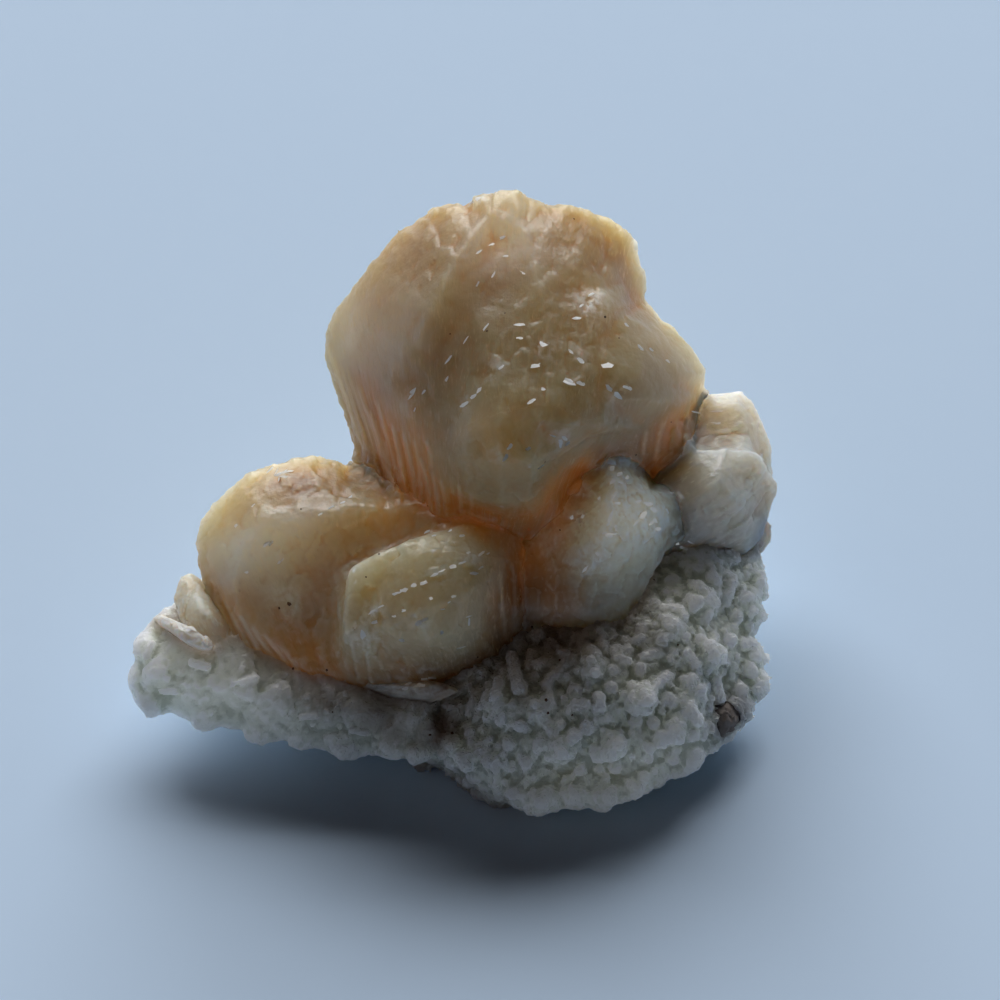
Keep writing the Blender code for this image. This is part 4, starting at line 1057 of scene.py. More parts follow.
def room(name):
    """Field of the neighbours' room: above zero where a piece may not go."""
    grown = [k for k in RELIEF.get(name, ()) if k in CRYSTALS and name not in CRYSTALS]

    def f(p):
        d = np.full(len(p), -9, F)
        if grown:
            a, b = crystals(grown, p)
            d = np.maximum(d, F(SEAM) - smin(a, b, CORNER))
        for other in RELIEF.get(name, ()):
            if other in CRYSTALS:
                continue
            o = PIECES[other]
            near = ((p > o.lo) & (p < o.hi)).all(1)
            if near.any():
                near[near] = o.base(p[near]) < 2.2
            if near.any():
                d[near] = np.maximum(d[near], F(SEAM) - o(p[near]))
        if name == "druse_matrix":
            d = np.maximum(d, -p[:, 2])
        return d
    return f


def carved(name):
    """A piece's field with its neighbours taken out of it.

    Crystals that grow into each other are one rounded body, parted where the
    two fields are equal; other pieces are cut back to their neighbours' seams."""
    own, taken, k = PIECES[name], room(name), FILLET.get(name, 0)

    def f(p):
        d = own(p)
        near = d < (CORNER if name in CRYSTALS else max(1.5, k))
        if near.any():
            d = d.copy()
            q, e = p[near], d[near]
            cut = taken(q)
            if name in CRYSTALS:
                a, b = crystals([o for o in CRYSTALS if o != name], q)
                cut = np.maximum(cut, (e - a + F(CLEFT)) * F(.5))
                e = smin(e, a, CORNER)
            elif k:
                e = smin(e, np.where(cut > -k, F(.12 + SEAM) - cut, 99), k)
            d[near] = np.maximum(e, cut)
        return d
    return f


def closeness(name, v):
    """0..1: how deep in the nooks between crystals a point lies."""
    best = np.full(len(v), 9, F)
    for other, o in PIECES.items():
        if other == name or other == "basalt_remnant":
            continue
        near = ((v > o.lo - 6) & (v < o.hi + 6)).all(1)
        if near.any():
            best[near] = np.minimum(best[near], o.base(v[near]))
    own = PIECES[name].gapness(v)
    return np.exp(-np.maximum(best, 0) / F(2.6)), np.exp(-np.maximum(own, 0) / F(1.3))


# --------------------------------------------------------------- materials
def tree_of(name):
    m = bpy.data.materials.new(name)
    m.use_nodes = True
    m.cycles.emission_sampling = "NONE"
    nt = m.node_tree
    return m, nt, nt.nodes["Principled BSDF"]


class Nodes:
    """A short way to write node graphs."""

    def __init__(self, nt):
        self.nt = nt

    def new(self, kind, **inputs):
        n = self.nt.nodes.new(kind)
        for k, v in inputs.items():
            if hasattr(n, k) and not isinstance(v, bpy.types.NodeSocket):
                try:
                    setattr(n, k, v)
                    continue
                except (TypeError, AttributeError):
                    pass
            self.put(n.inputs[k.replace("_", " ") if k.replace("_", " ") in n.inputs else k], v)
        return n

    def put(self, socket, v):
        if isinstance(v, bpy.types.NodeSocket):
            self.nt.links.new(v, socket)
        else:
            socket.default_value = v

    def attr(self, name, out="Fac"):
        n = self.nt.nodes.new("ShaderNodeAttribute")
        n.attribute_name = name
        return n.outputs[out]

    def math(self, op, a, b=0.0, c=0.0, clamp=False):
        n = self.nt.nodes.new("ShaderNodeMath")
        n.operation = op
        n.use_clamp = clamp
        for i, v in enumerate((a, b, c)):
            self.put(n.inputs[i], v)
        return n.outputs[0]

    def vmath(self, op, a, b=(0, 0, 0), scale=None):
        n = self.nt.nodes.new("ShaderNodeVectorMath")
        n.operation = op
        self.put(n.inputs[0], a)
        self.put(n.inputs[1], b)
        if scale is not None:
            self.put(n.inputs["Scale"], scale)
        return n.outputs["Vector"] if op != "LENGTH" else n.outputs["Value"]

    def noise(self, vec, scale, detail=2.0, rough=.5, distort=0.0):
        n = self.nt.nodes.new("ShaderNodeTexNoise")
        self.put(n.inputs["Vector"], vec)
        n.inputs["Scale"].default_value = scale
        n.inputs["Detail"].default_value = detail
        n.inputs["Roughness"].default_value = rough
        n.inputs["Distortion"].default_value = distort
        return n.outputs["Fac"]

    def voronoi(self, vec, scale, feature="F1", out="Distance", rnd=1.0):
        n = self.nt.nodes.new("ShaderNodeTexVoronoi")
        n.feature = feature
        self.put(n.inputs["Vector"], vec)
        n.inputs["Scale"].default_value = scale
        n.inputs["Randomness"].default_value = rnd
        return n.outputs[out]

    def span(self, v, lo, hi, a=0.0, b=1.0):
        n = self.nt.nodes.new("ShaderNodeMapRange")
        n.interpolation_type = "SMOOTHSTEP"
        self.put(n.inputs["Value"], v)
        for key, x in (("From Min", lo), ("From Max", hi), ("To Min", a), ("To Max", b)):
            n.inputs[key].default_value = x
        return n.outputs["Result"]

    def mix(self, f, a, b):
        n = self.nt.nodes.new("ShaderNodeMix")
        n.data_type = "RGBA"
        self.put(n.inputs["Factor"], f)
        ia, ib = [s for s in n.inputs if s.type == "RGBA"][:2]
        for s, v in ((ia, a), (ib, b)):
            self.put(s, (*v, 1.0) if isinstance(v, tuple) and len(v) == 3 else v)
        return [s for s in n.outputs if s.type == "RGBA"][0]

    def bump(self, height, strength, dist, normal=None):
        n = self.nt.nodes.new("ShaderNodeBump")
        n.inputs["Strength"].default_value = strength
        n.inputs["Distance"].default_value = dist
        self.put(n.inputs["Height"], height)
        if normal is not None:
            self.put(n.inputs["Normal"], normal)
        return n.outputs["Normal"]


def crystal_material(name, light, mid, deep_shade_glow, frost_and_sheen=(.86, .85, .82), rough=.34, scatter=.0300, nooks=.85,
                     radius=(1.0, .74, .50), stripe=1.0, cloud=.5, grey_and_painted_light=(.74, .71, .63), amber=(.78, .50, .21), painted_shade=(.165, .085, .038), ember=(1.0, .34, .06), glow=.062):
    m, nt, sh = tree_of(name)
    N = Nodes(nt)
    co = nt.nodes.new("ShaderNodeTexCoord").outputs["Object"]
    fan = N.attr("fan", "Vector")
    nook, seam, frost_sheen_mask, amber_and_glow, ends, glint = (N.attr(k) for k in ("nook", "seam", "frost_and_sheen", "amber_and_glow", "ends", "glint"))
    clouds = N.noise(co, 190.0, 4.0, .6, .6)
    fine = N.noise(co, 900.0, 3.0, .6)
    thin = N.vmath("MULTIPLY", fan, (2.6, 1.0, .05))
    stripes = N.noise(thin, 1.6, 3.0, .55)
    thin2 = N.vmath("MULTIPLY", fan, (1.2, .35, .03))
    bands = N.noise(thin2, 1.0, 2.0, .5)
    edge, swell = N.attr("edge"), N.attr("swell")
    base = N.mix(N.span(clouds, .5 - cloud * .4, .5 + cloud * .45), light, mid)
    base = N.mix(N.span(stripes, .35, .75, 0, .35 * stripe), base, mid)
    # paler grey tint: partly the crystal's own greyer tone, partly painted light on faces left too dim
    base = N.mix(N.math("MULTIPLY", N.attr("grey_and_painted_light"), N.span(clouds, .2, .7, .6, 1.0), clamp=True), base, grey_and_painted_light)
    # amber tint: partly the crystal's own deeper colour, partly painted glow of light through the flanks
    base = N.mix(N.math("MULTIPLY", amber_and_glow, N.span(bands, .25, .75, .6, 1.1), clamp=True), base, amber)
    # painted glow of light carried through the crystals, as a deeper orange where they lie low or meet
    through_glow = N.math("MULTIPLY", N.attr("painted_through_glow"), N.span(bands, .2, .8, .75, 1.1))
    # painted shade and glow: deeper orange in the nooks, the seams and the hollows of the surface
    crevice_shade_glow = N.math("ADD", N.math("ADD", N.span(nook, .12, .62, 0, .5 * nooks), N.math("MULTIPLY", through_glow, .6)), N.math("MULTIPLY", seam, .2))
    crevice_shade_glow = N.math("ADD", crevice_shade_glow, N.math("MULTIPLY", N.math("MINIMUM", swell, 0.0), -.45))
    crevice_shade_glow = N.math("MULTIPLY", crevice_shade_glow, N.span(bands, .25, .75, .65, 1.2), clamp=True)
    base = N.mix(crevice_shade_glow, base, deep_shade_glow)
    # painted shade: darker brown in the crevices and over the brightest tops
    base = N.mix(N.math("MULTIPLY", N.attr("painted_shade"), N.span(clouds, .2, .6, .7, 1.0), clamp=True), base, painted_shade)
    flank = N.math("SUBTRACT", 1.0, ends)
    # paler stripes on the flanks, with a painted highlight along the standing blades
    stripes_and_highlight = N.math("MULTIPLY", N.math("ADD", N.span(stripes, .5, .8), glint), N.math("MULTIPLY", flank, .75), clamp=True)
    base = N.mix(stripes_and_highlight, base, tuple(min(1, c * 1.25 + .06) for c in light))
    # painted highlight on convex edges and painted shade in concave creases
    base = N.mix(N.math("MULTIPLY", N.math("MAXIMUM", edge, 0.0), .35, clamp=True), base, tuple(min(1, c * 1.2 + .08) for c in light))
    base = N.mix(N.math("MULTIPLY", N.math("MINIMUM", edge, 0.0), -.25, clamp=True), base, tuple(c * .8 for c in deep_shade_glow))
    # whitened: real frost on the frosted parts, painted sheen and glint halos elsewhere
    frost_sheen_mix = N.math("MULTIPLY", frost_sheen_mask, N.math("ADD", N.span(fine, .38, .62, .1, .8), N.math("MULTIPLY", edge, .7)), clamp=True)
    base = N.mix(frost_sheen_mix, base, frost_and_sheen)
    # painted sparkle: small white glints on the crystal ends
    sparkle_spots = N.math("MULTIPLY", N.span(N.voronoi(co, 520.0), .0, .22, 1, 0), N.span(N.noise(co, 150.0, 2.0), .54, .66), clamp=True)
    painted_sparkle = N.math("MULTIPLY", sparkle_spots, N.math("MULTIPLY", ends, N.span(edge, .0, .6)), clamp=True)
    base = N.mix(N.math("MULTIPLY", painted_sparkle, .9), base, (.93, .93, .92))
    nt.links.new(base, sh.inputs["Base Color"])
    # painted glow: emission standing in for light carried through the crystals, orange where they meet, pale in the
    # frosted parts and other painted light spots
    through_glow = N.math("MULTIPLY", through_glow, glow)
    painted_glow = N.attr("painted_glow")
    nt.links.new(N.mix(N.math("DIVIDE", painted_glow, N.math("ADD", N.math("ADD", painted_glow, through_glow), .0001), clamp=True), ember, base), sh.inputs["Emission Color"])
    nt.links.new(N.math("ADD", through_glow, painted_glow), sh.inputs["Emission Strength"])
    r = N.math("ADD", N.span(fine, .3, .7, rough - .06, rough + .14), N.math("MULTIPLY", frost_sheen_mix, .12), clamp=True)
    r = N.math("SUBTRACT", r, N.math("MULTIPLY", painted_sparkle, .12), clamp=True)
    nt.links.new(r, sh.inputs["Roughness"])
    sh.inputs["IOR"].default_value = 1.5
    sh.inputs["Subsurface Weight"].default_value = 1.0
    sh.inputs["Subsurface Radius"].default_value = radius
    sh.inputs["Subsurface Scale"].default_value = scatter
    thin3 = N.vmath("MULTIPLY", fan, (5.0, 2.0, .08))
    cut = N.math("ADD", N.math("MULTIPLY", N.noise(thin3, 1.0, 3.0, .6), .7), N.math("MULTIPLY", stripes, .6))
    side = N.math("SUBTRACT", 1.0, N.math("MULTIPLY", ends, .65))
    n1 = N.bump(N.math("MULTIPLY", cut, side), .6 * stripe, .00018)
    sugar = N.voronoi(co, 2300.0, "F1")
    rub = N.math("ADD", N.math("MULTIPLY", sugar, .6), N.noise(co, 2600.0, 2.0, .6))
    n2 = N.bump(N.math("MULTIPLY", rub, N.math("ADD", .25, N.math("MULTIPLY", N.math("MAXIMUM", ends, frost_sheen_mask), .75))), .35, .00010, n1)
    nt.links.new(n2, sh.inputs["Normal"])
    return m


def glint_material(name, colour, rough=.30):
    m, nt, sh = tree_of(name)
    N = Nodes(nt)
    co = nt.nodes.new("ShaderNodeTexCoord").outputs["Object"]
    tone = N.attr("tone")
    f = N.noise(co, 1500.0, 2.0)
    # near white: partly the crystal's own pearly lustre, partly a painted glint
    c = N.mix(N.span(f, .3, .7, 0, .5), colour, tuple(x * .86 for x in colour))
    nt.links.new(c, sh.inputs["Base Color"])
    nt.links.new(N.span(f, .3, .7, rough, rough + .18), sh.inputs["Roughness"])
    sh.inputs["IOR"].default_value = 1.55
    sh.inputs["Subsurface Weight"].default_value = .35
    sh.inputs["Subsurface Radius"].default_value = (1.0, .8, .6)
    sh.inputs["Subsurface Scale"].default_value = .0012
    # painted glow: the ledges give off a little light of their own, most on the frosted crystal
    nt.links.new(c, sh.inputs["Emission Color"])
    nt.links.new(N.math("MULTIPLY", N.attr("tone"), .07), sh.inputs["Emission Strength"])
    nt.links.new(N.bump(N.noise(co, 3200.0, 2.0), .25, .00006), sh.inputs["Normal"])
    return m


def druse_material(name, body, tip, painted_crease_shade):
    m, nt, sh = tree_of(name)
    N = Nodes(nt)
    co = nt.nodes.new("ShaderNodeTexCoord").outputs["Object"]
    clouds = N.noise(co, 160.0, 4.0, .6, .4)
    fine = N.noise(co, 1300.0, 3.0, .6)
    edge, swell = N.attr("edge"), N.attr("swell")
    base = N.mix(N.span(clouds, .32, .68), body, tuple(c * .86 for c in body))
    out = N.math("ADD", N.math("MULTIPLY", edge, .6), N.math("MULTIPLY", swell, .45))
    # painted shade: darker crust in concave creases and in the hollows below the crust
    base = N.mix(N.span(out, -.75, .0, .85, 0), base, painted_crease_shade)
    base = N.mix(N.math("MULTIPLY", N.attr("hollow"), .4, clamp=True), base, painted_crease_shade)
    # whiter on convex bumps and crystal rims as a painted highlight, and on some crystals by their own paler tone
    edge_light_and_tone = N.math("ADD", N.span(out, .15, .85, 0, .75), N.math("ADD", N.math("MULTIPLY", N.attr("tone"), .22), N.math("MULTIPLY", N.attr("rim"), .5)), clamp=True)
    base = N.mix(edge_light_and_tone, base, tip)
    # painted shade: browner crust in the nooks next to the crystals
    base = N.mix(N.span(N.attr("nook"), .55, 1.0, 0, .6), base, (.52, .38, .24))
    # painted shade: dark brown spots under the crystals and in the crevices of the crust
    base = N.mix(N.math("MULTIPLY", N.attr("painted_crust_shade"), N.span(clouds, .25, .6, .6, 1.0), clamp=True), base, (.20, .14, .10))
    nt.links.new(base, sh.inputs["Base Color"])
    # painted glow: emission that brightens the crust where the lamps leave it dim
    nt.links.new(base, sh.inputs["Emission Color"])
    nt.links.new(N.attr("painted_glow"), sh.inputs["Emission Strength"])
    nt.links.new(N.span(fine, .3, .7, .22, .46), sh.inputs["Roughness"])
    sh.inputs["IOR"].default_value = 1.52
    sh.inputs["Subsurface Weight"].default_value = .85
    sh.inputs["Subsurface Radius"].default_value = (1.0, .98, .86)
    sh.inputs["Subsurface Scale"].default_value = .008
    b = N.math("ADD", N.math("MULTIPLY", N.voronoi(co, 1700.0), .8), fine)
    nt.links.new(N.bump(b, .4, .00014), sh.inputs["Normal"])
    return m


def basalt_material(name):
    m, nt, sh = tree_of(name)
    N = Nodes(nt)
    co = nt.nodes.new("ShaderNodeTexCoord").outputs["Object"]
    a = N.noise(co, 420.0, 4.0, .65)
    v = N.voronoi(co, 900.0)
    base = N.mix(N.span(a, .3, .7), (.19, .155, .14), (.31, .265, .24))
    base = N.mix(N.span(v, 0, .25, .7, 0), base, (.09, .06, .05))
    nt.links.new(base, sh.inputs["Base Color"])
    nt.links.new(N.span(a, .3, .7, .7, .92), sh.inputs["Roughness"])
    nt.links.new(N.bump(N.math("ADD", a, v), .6, .0002), sh.inputs["Normal"])
    return m


def dirt_material(name):
    m, nt, sh = tree_of(name)
    N = Nodes(nt)
    co = nt.nodes.new("ShaderNodeTexCoord").outputs["Object"]
    nt.links.new(N.mix(N.noise(co, 700.0), (.05, .03, .02), (.20, .10, .05)), sh.inputs["Base Color"])
    nt.links.new(N.span(N.noise(co, 1100.0), .3, .7, .75, .95), sh.inputs["Roughness"])
    return m


PEACH = dict(light=(.478, .394, .222), mid=(.415, .302, .152), deep_shade_glow=(.60, .29, .08))
MATERIALS = {
    "main_sheaf": crystal_material("peach_crystal", **PEACH),
    "left_sheaves": crystal_material("peach_crystal_left", (.58, .49, .32), (.51, .40, .24), (.60, .31, .10), scatter=.032),
    "frosted_sheaf": crystal_material("frosted_crystal", (.93, .85, .66), (.85, .74, .53), (.66, .42, .20), frost_and_sheen=(.90, .87, .78), scatter=.020, nooks=.55),
    "rear_right_sheaf": crystal_material("cream_crystal", (.74, .72, .64), (.66, .62, .53), (.50, .39, .26), scatter=.016, stripe=1.6),
    "pale_blade": crystal_material("pale_crystal", (.46, .40, .34), (.40, .32, .26), (.30, .20, .13), scatter=.004),
    "edge_sheaf": crystal_material("beige_crystal", (.84, .78, .66), (.78, .70, .55), (.66, .48, .30), scatter=.008),
    "edge_blade": crystal_material("white_crystal", (.84, .81, .76), (.78, .72, .64), (.55, .45, .35), scatter=.003, stripe=1.8),
}
MATERIALS["rear_tip"] = MATERIALS["rear_right_sheaf"]
MATERIALS["right_tip"] = MATERIALS["edge_blade"]
MATERIALS["druse_matrix"] = druse_material("druse_crust", (.86, .885, .80), (.97, .98, .95), (.52, .545, .475))
MATERIALS["basalt_remnant"] = basalt_material("brown_basalt")

# ------------------------------------------------------------------ growing
def vertex_normals(v, q):
    a, b, c, d = (v[q[:, k]] for k in range(4))
    n = np.cross(c - a, d - b)
    out = np.zeros_like(v)
    for k in range(4):
        np.add.at(out, q[:, k], n)
    return out / np.maximum(np.linalg.norm(out, axis=1), 1e-9)[:, None]


def curvature(v, q, nor, times):
    """How far each point stands out of its smoothed surroundings, in mm."""
    a = np.concatenate([q[:, k] for k in range(4)] + [q[:, (k + 1) % 4] for k in range(4)])
    b = np.concatenate([q[:, (k + 1) % 4] for k in range(4)] + [q[:, k] for k in range(4)])
    num = np.maximum(np.bincount(a, minlength=len(v)), 1)
    s = v
    for _ in range(times):
        s = np.stack([np.bincount(a, s[b, k], len(v)) / num for k in range(3)], 1)
    return ((v - s) * nor).sum(1).astype(F)


def spaced(v, weights, gap, rng, most=99999):
    """Points of v in a random order, no two nearer than their own gap."""
    order = rng.permutation(len(v))
    order = order[rng.uniform(size=len(v)) < weights[order]]
    grid, out = {}, []
    cell = float(np.max(gap)) if np.ndim(gap) else gap
    for i in order:
        g = gap[i] if np.ndim(gap) else gap
        key = tuple((v[i] // cell).astype(int))
        ok = True
        for a in (-1, 0, 1):
            for b in (-1, 0, 1):
                for c in (-1, 0, 1):
                    for j in grid.get((key[0] + a, key[1] + b, key[2] + c), ()):
                        if ((v[i] - v[j]) ** 2).sum() < g * g:
                            ok = False
                            break
                    if not ok:
                        break
                if not ok:
                    break
            if not ok:
                break
        if ok:
            grid.setdefault(key, []).append(i)
            out.append(i)
            if len(out) >= most:
                break
    return out


def druse_stubs():
    """The crystals of the druse: some where they belong, the rest strewn."""
    rng = np.random.default_rng(7)
    v, q = mesh_field(carved("druse_matrix"), PIECES["druse_matrix"].lo, PIECES["druse_matrix"].hi, .8)
    nor = vertex_normals(v, q)
    tree = BVHTree.FromPolygons([Vector(c) for c in v], [tuple(int(i) for i in f) for f in q])
    out = []

    def on(gx, gy):
        hit, n_, _, _ = tree.ray_cast(Vector(EYE), Vector(at(gx, gy, 0.0) - EYE).normalized())
        return (None, None) if hit is None else (np.array(hit), np.array(n_))

    for gx, gy, across in DRUSE_ENDS:
        hit, n_ = on(gx, gy)
        if hit is not None:
            st = Stub(hit, AX_W * .75 + n_ * .35 + rng.normal(size=3) * .12, across * STEP, .62, rng, sink=.8, bevel=.16)
            st.tone = rng.uniform(.8, 1)
            out.append(st)
    for gx, gy, ang, length, across in DRUSE_RODS:
        hit, n_ = on(gx, gy)
        if hit is not None:
            t = AX_U * math.cos(math.radians(ang)) + AX_V * math.sin(math.radians(ang))
            t = t - (t @ n_) * n_ * .85
            t /= np.linalg.norm(t)
            st = Stub(hit - t * length * .5 + n_ * across * .25, t, across, length, rng, sink=.1, bevel=.3)
            st.tone = rng.uniform(.5, .9)
            out.append(st)
    vf = v.astype(F)
    gx, gy, w = layout_of(vf)
    chunk = step01(vf[:, 0], -4, 1)
    glassy = np.zeros(len(v), F)
    for x, y, r in ((560, 795, 40), (605, 795, 40), (650, 780, 36), (690, 760, 26), (525, 785, 22), (470, 755, 20)):
        glassy += np.exp(-((gx - x) ** 2 + (gy - y) ** 2) / (r * r)).astype(F)
    up = step01(nor[:, 2].astype(F), -.5, .1)
    size = (.50 + chunk * (.25 + .75 * step01(fbm(vf / F(2.6), 78, 2), -.3, .5))).astype(F)
    weights = up * (.25 + .75 * step01(fbm(vf / F(4.), 77, 2), -.5, .2)) * (1 - .85 * np.clip(glassy, 0, 1))
    weights *= (.18 + .82 * chunk) * (room("druse_matrix")(vf) < -.2) * (v[:, 2] > .8)
    for i in spaced(v, weights, size * 1.02, rng):
        w_ = float(size[i]) * rng.uniform(.75, 1.3)
        st = Stub(v[i] - nor[i] * .12 * w_, nor[i] + rng.normal(size=3) * .55 + np.array([0, -.1, .25]), w_,
                  w_ * rng.uniform(.25, .8), rng, sink=.7, bevel=rng.uniform(.1, .35), flat=rng.uniform(.8, 1.1))
        st.tone = float(rng.uniform() ** 2 * .8)
        out.append(st)
    return out


SHELL = {}
STUBS = druse_stubs()
for name in PIECES:
    h = GRAIN_MM[name] * 1.0
    stamps = STUBS if name == "druse_matrix" else ()
    verts, quads = mesh_field(carved(name), PIECES[name].lo, PIECES[name].hi, h, stamps=stamps, keep=room(name), fan=FANS.get(name))
    SHELL[name] = (verts, quads)


def tree_for(names):
    co, fa, owner, n = [], [], [], 0
    for k in names:
        v, q = SHELL[k]
        co.append(v)
        fa.append(q + n)
        owner += [k] * len(q)
        n += len(v)
    co, fa = np.concatenate(co), np.concatenate(fa)
    return BVHTree.FromPolygons([Vector(c) for c in co], [tuple(int(i) for i in f) for f in fa]), owner


TREE, OWNER = tree_for(PIECES)


def spot(gx, gy):
    """Where the layout's line of sight meets the cluster: place, normal, node."""
    d = Vector(at(gx, gy, 0.0) - EYE).normalized()
    hit, nor, face, dist = TREE.ray_cast(Vector(EYE), d)
    return (None, None, None) if hit is None else (np.array(hit), np.array(nor), OWNER[face])


def painted_spots(co, rows):
    """Soft round spots on the surface, most of them painted shade, painted glow or painted sheen: (right, down, mm,
    strength).
    """
    out = np.zeros(len(co), F)
    for gx, gy, r, s in rows:
        hit, nor, owner = spot(gx, gy)
        if hit is not None:
            out += F(s) * np.exp(-((co - hit) ** 2).sum(1) / (r * r)).astype(F)
    return out


# spots of white: real frosting on the frosted parts, and painted sheen and glint halos on the smooth ends
FROST_AND_SHEEN = [
    (590, 302, 1.7, .8), (496, 368, 1.2, .5), (560, 438, 1.1, .6), (464, 404, 1.0, .4), (288, 600, 2.2, .8),
    (366, 640, 1.7, .7), (374, 613, 1.0, .9), (421, 622, 1.1, .6), (650, 512, 2.6, .95), (664, 522, 1.5, 1.),
    (618, 476, 1.4, .9), (612, 500, 1.3, .6), (608, 530, 1.4, .6), (588, 562, 1.8, .7), (600, 545, 2.0, .5),
    (640, 530, 2.4, .7), (284, 474, .9, .7), (470, 556, 1.4, .5), (440, 570, 1.5, .35), (630, 505, 2.2, .6),
    (425, 684, 1.6, .5), (400, 692, 1.6, .4), (765, 536, 2.0, .7), (478, 202, 1.2, .4), (190, 635, 2.2, .6),
    (545, 350, 1.2, .4), (580, 358, 1.2, .4), (612, 392, 1.1, .4), (500, 455, 1.0, .3), (412, 398, .9, .4),
]
# spots of amber: partly the crystals' own deeper colour, partly painted glow of light passing through the flanks
AMBER_AND_GLOW = [
    (500, 450, 4.0, .42), (470, 430, 3.0, .12), (385, 430, 3.6, .65), (402, 470, 3.4, .75), (425, 500, 2.6, .6), (425, 440, 3.0, .5), (400, 405, 3.0, .35),
    (365, 390, 2.4, .35), (455, 505, 3.0, .45), (265, 640, 3.0, .8), (300, 660, 3.2, .7), (230, 610, 2.2, .7),
    (335, 672, 2.2, .4), (300, 478, 3.0, .3), (335, 478, 2.6, .35), (390, 510, 2.6, .6),
    (665, 430, 2.6, .45), (680, 412, 2.0, .4),
    (560, 480, 1.8, .4), (360, 520, 3.0, .3),
]
# spots of a paler grey: partly the crystals' own greyer tone on ridges, partly painted light and sheen on faces left
# too dim
GREY_AND_PAINTED_LIGHT = [
    (425, 238, 4.0, .16), (395, 330, 5.0, .45), (350, 330, 4.0, .45), (370, 352, 3.5, .4), (345, 350, 3.0, .4), (513, 215, 3.2, .6), (520, 245, 3.2, .55), (486, 232, 2.6, .35), (470, 262, 2.6, .3),
    (505, 262, 2.8, .25), (300, 530, 4.0, .6), (262, 556, 4.5, .75), (225, 560, 3.5, .5),
    (285, 600, 2.6, .4), (645, 300, 4.0, .3), (620, 270, 4.0, .15), (620, 515, 4.0, .2), (650, 520, 3.5, .25), (690, 370, 3.5, .4),
    (735, 430, 6.0, .5), (745, 500, 5.0, .4), (470, 430, 3.0, .2), (650, 350, 4.0, .25),
]
# painted shade: spots drawn darker brown, in crevices and over the brightest tops
PAINTED_SHADE = [
    (300, 482, 3.6, .40), (268, 486, 3.2, .32), (338, 480, 2.6, .30), (560, 232, 4.6, .22), (612, 248, 4.2, .22), (430, 232, 4.4, .20),
    (500, 212, 3.0, .15), (635, 300, 3.5, .12), (520, 370, 3.5, .15),
    (280, 655, 2.6, .2), (500, 300, 5.0, .10), (425, 240, 4.0, .16), (300, 490, 3.0, .40), (620, 272, 4.0, .13), (660, 372, 3.0, .16), (562, 490, 2.2, .32), (510, 515, 2.4, .15), (530, 560, 2.0, .20), (560, 602, 3.2, .62), (545, 582, 2.6, .4), (500, 615, 3.0, .48), (505, 650, 2.6, .5),
    (470, 660, 2.6, .4), (430, 672, 2.8, .45), (390, 676, 2.6, .35), (355, 676, 2.4, .3), (350, 610, 1.4, .3), (352, 640, 1.6, .3),
    (600, 600, 2.6, .4), (600, 562, 2.2, .28), (420, 660, 2.8, .28), (510, 515, 2.4, .3), (640, 590, 2.4, .3), (655, 560, 2.0, .2), (690, 470, 2.4, .2), (680, 532, 2.2, .5), (515, 590, 2.6, .3),
]
# painted glow: spots where the crystals are drawn deeper orange and glow, for light carried through them
PAINTED_THROUGH_GLOW = [
    (400, 465, 3.8, .50), (428, 498, 3.6, .50), (384, 430, 3.4, .40), (468, 516, 3.2, .45), (508, 518, 3.2, .50), (545, 502, 3.0, .55), (566, 480, 3.0, .75),
    (580, 462, 2.0, .35), (532, 560, 3.0, .55), (500, 606, 3.0, .30), (280, 650, 3.4, .50), (312, 664, 3.0, .40), (236, 612, 2.4, .30), (560, 545, 3.0, .30),
    (560, 600, 2.6, .45), (664, 436, 3.0, .30), (342, 668, 2.4, .25), (420, 450, 3.0, .30), (400, 668, 2.6, .18), (390, 515, 3.0, .30), (560, 520, 2.4, .3),
]
# painted glow: spots where the surface gives off a little light of its own, brightening faces and crust the lamps
# leave dim
PAINTED_GLOW = [
    (392, 512, 2.2, .03), (200, 680, 5.5, .078), (165, 665, 4.5, .045), (240, 700, 4.5, .045), (290, 718, 4.0, .02), (620, 510, 3.6, .075), (645, 520, 3.0, .05), (600, 545, 3.5, .05),
    (640, 775, 5.0, .050), (560, 785, 5.0, .032), (690, 750, 4.0, .02), (640, 640, 4.0, .006), (692, 594, 4.0, .026), (500, 450, 3.5, .018), (262, 560, 4.5, .03), (300, 525, 3.5, .02),
    (430, 605, 3.0, .012), (740, 640, 4.0, .015), (400, 735, 3.0, .010), (735, 430, 4.0, .01),
]
# painted shade: dark brown spots on the crust under the crystals and in its crevices
PAINTED_CRUST_SHADE = [
    (330, 702, 2.4, .75), (300, 690, 2.0, .4), (365, 722, 2.2, .6), (400, 735, 2.4, .6), (436, 738, 1.8, .9), (440, 720, 2.2, .6), (470, 700, 2.5, .35),
    (540, 640, 3.0, .55), (500, 665, 2.5, .6), (560, 632, 2.5, .5), (600, 640, 2.5, .45), (640, 632, 2.5, .3), (380, 705, 2.4, .5), (260, 668, 2.0, .3),
    (520, 690, 2.5, .35), (570, 655, 2.5, .3),
]


def facing(name, v):
    """Per point: the fan coordinates and the index of the block it belongs to."""
    blocks = PIECES[name].blocks
    ds = np.stack([b.base(v) for b in blocks], 1)
    own = ds.argmin(1)
    fan = np.zeros((len(v), 3), F)
    for k, b in enumerate(blocks):
        m = own == k
        if m.any():
            q = v[m] - b.root
            r = np.sqrt((q * q).sum(1))
            u = q / r[:, None] * F(b.reach)
            fan[m] = np.stack([u @ b.a, u @ b.b, r], 1)
    return fan, own


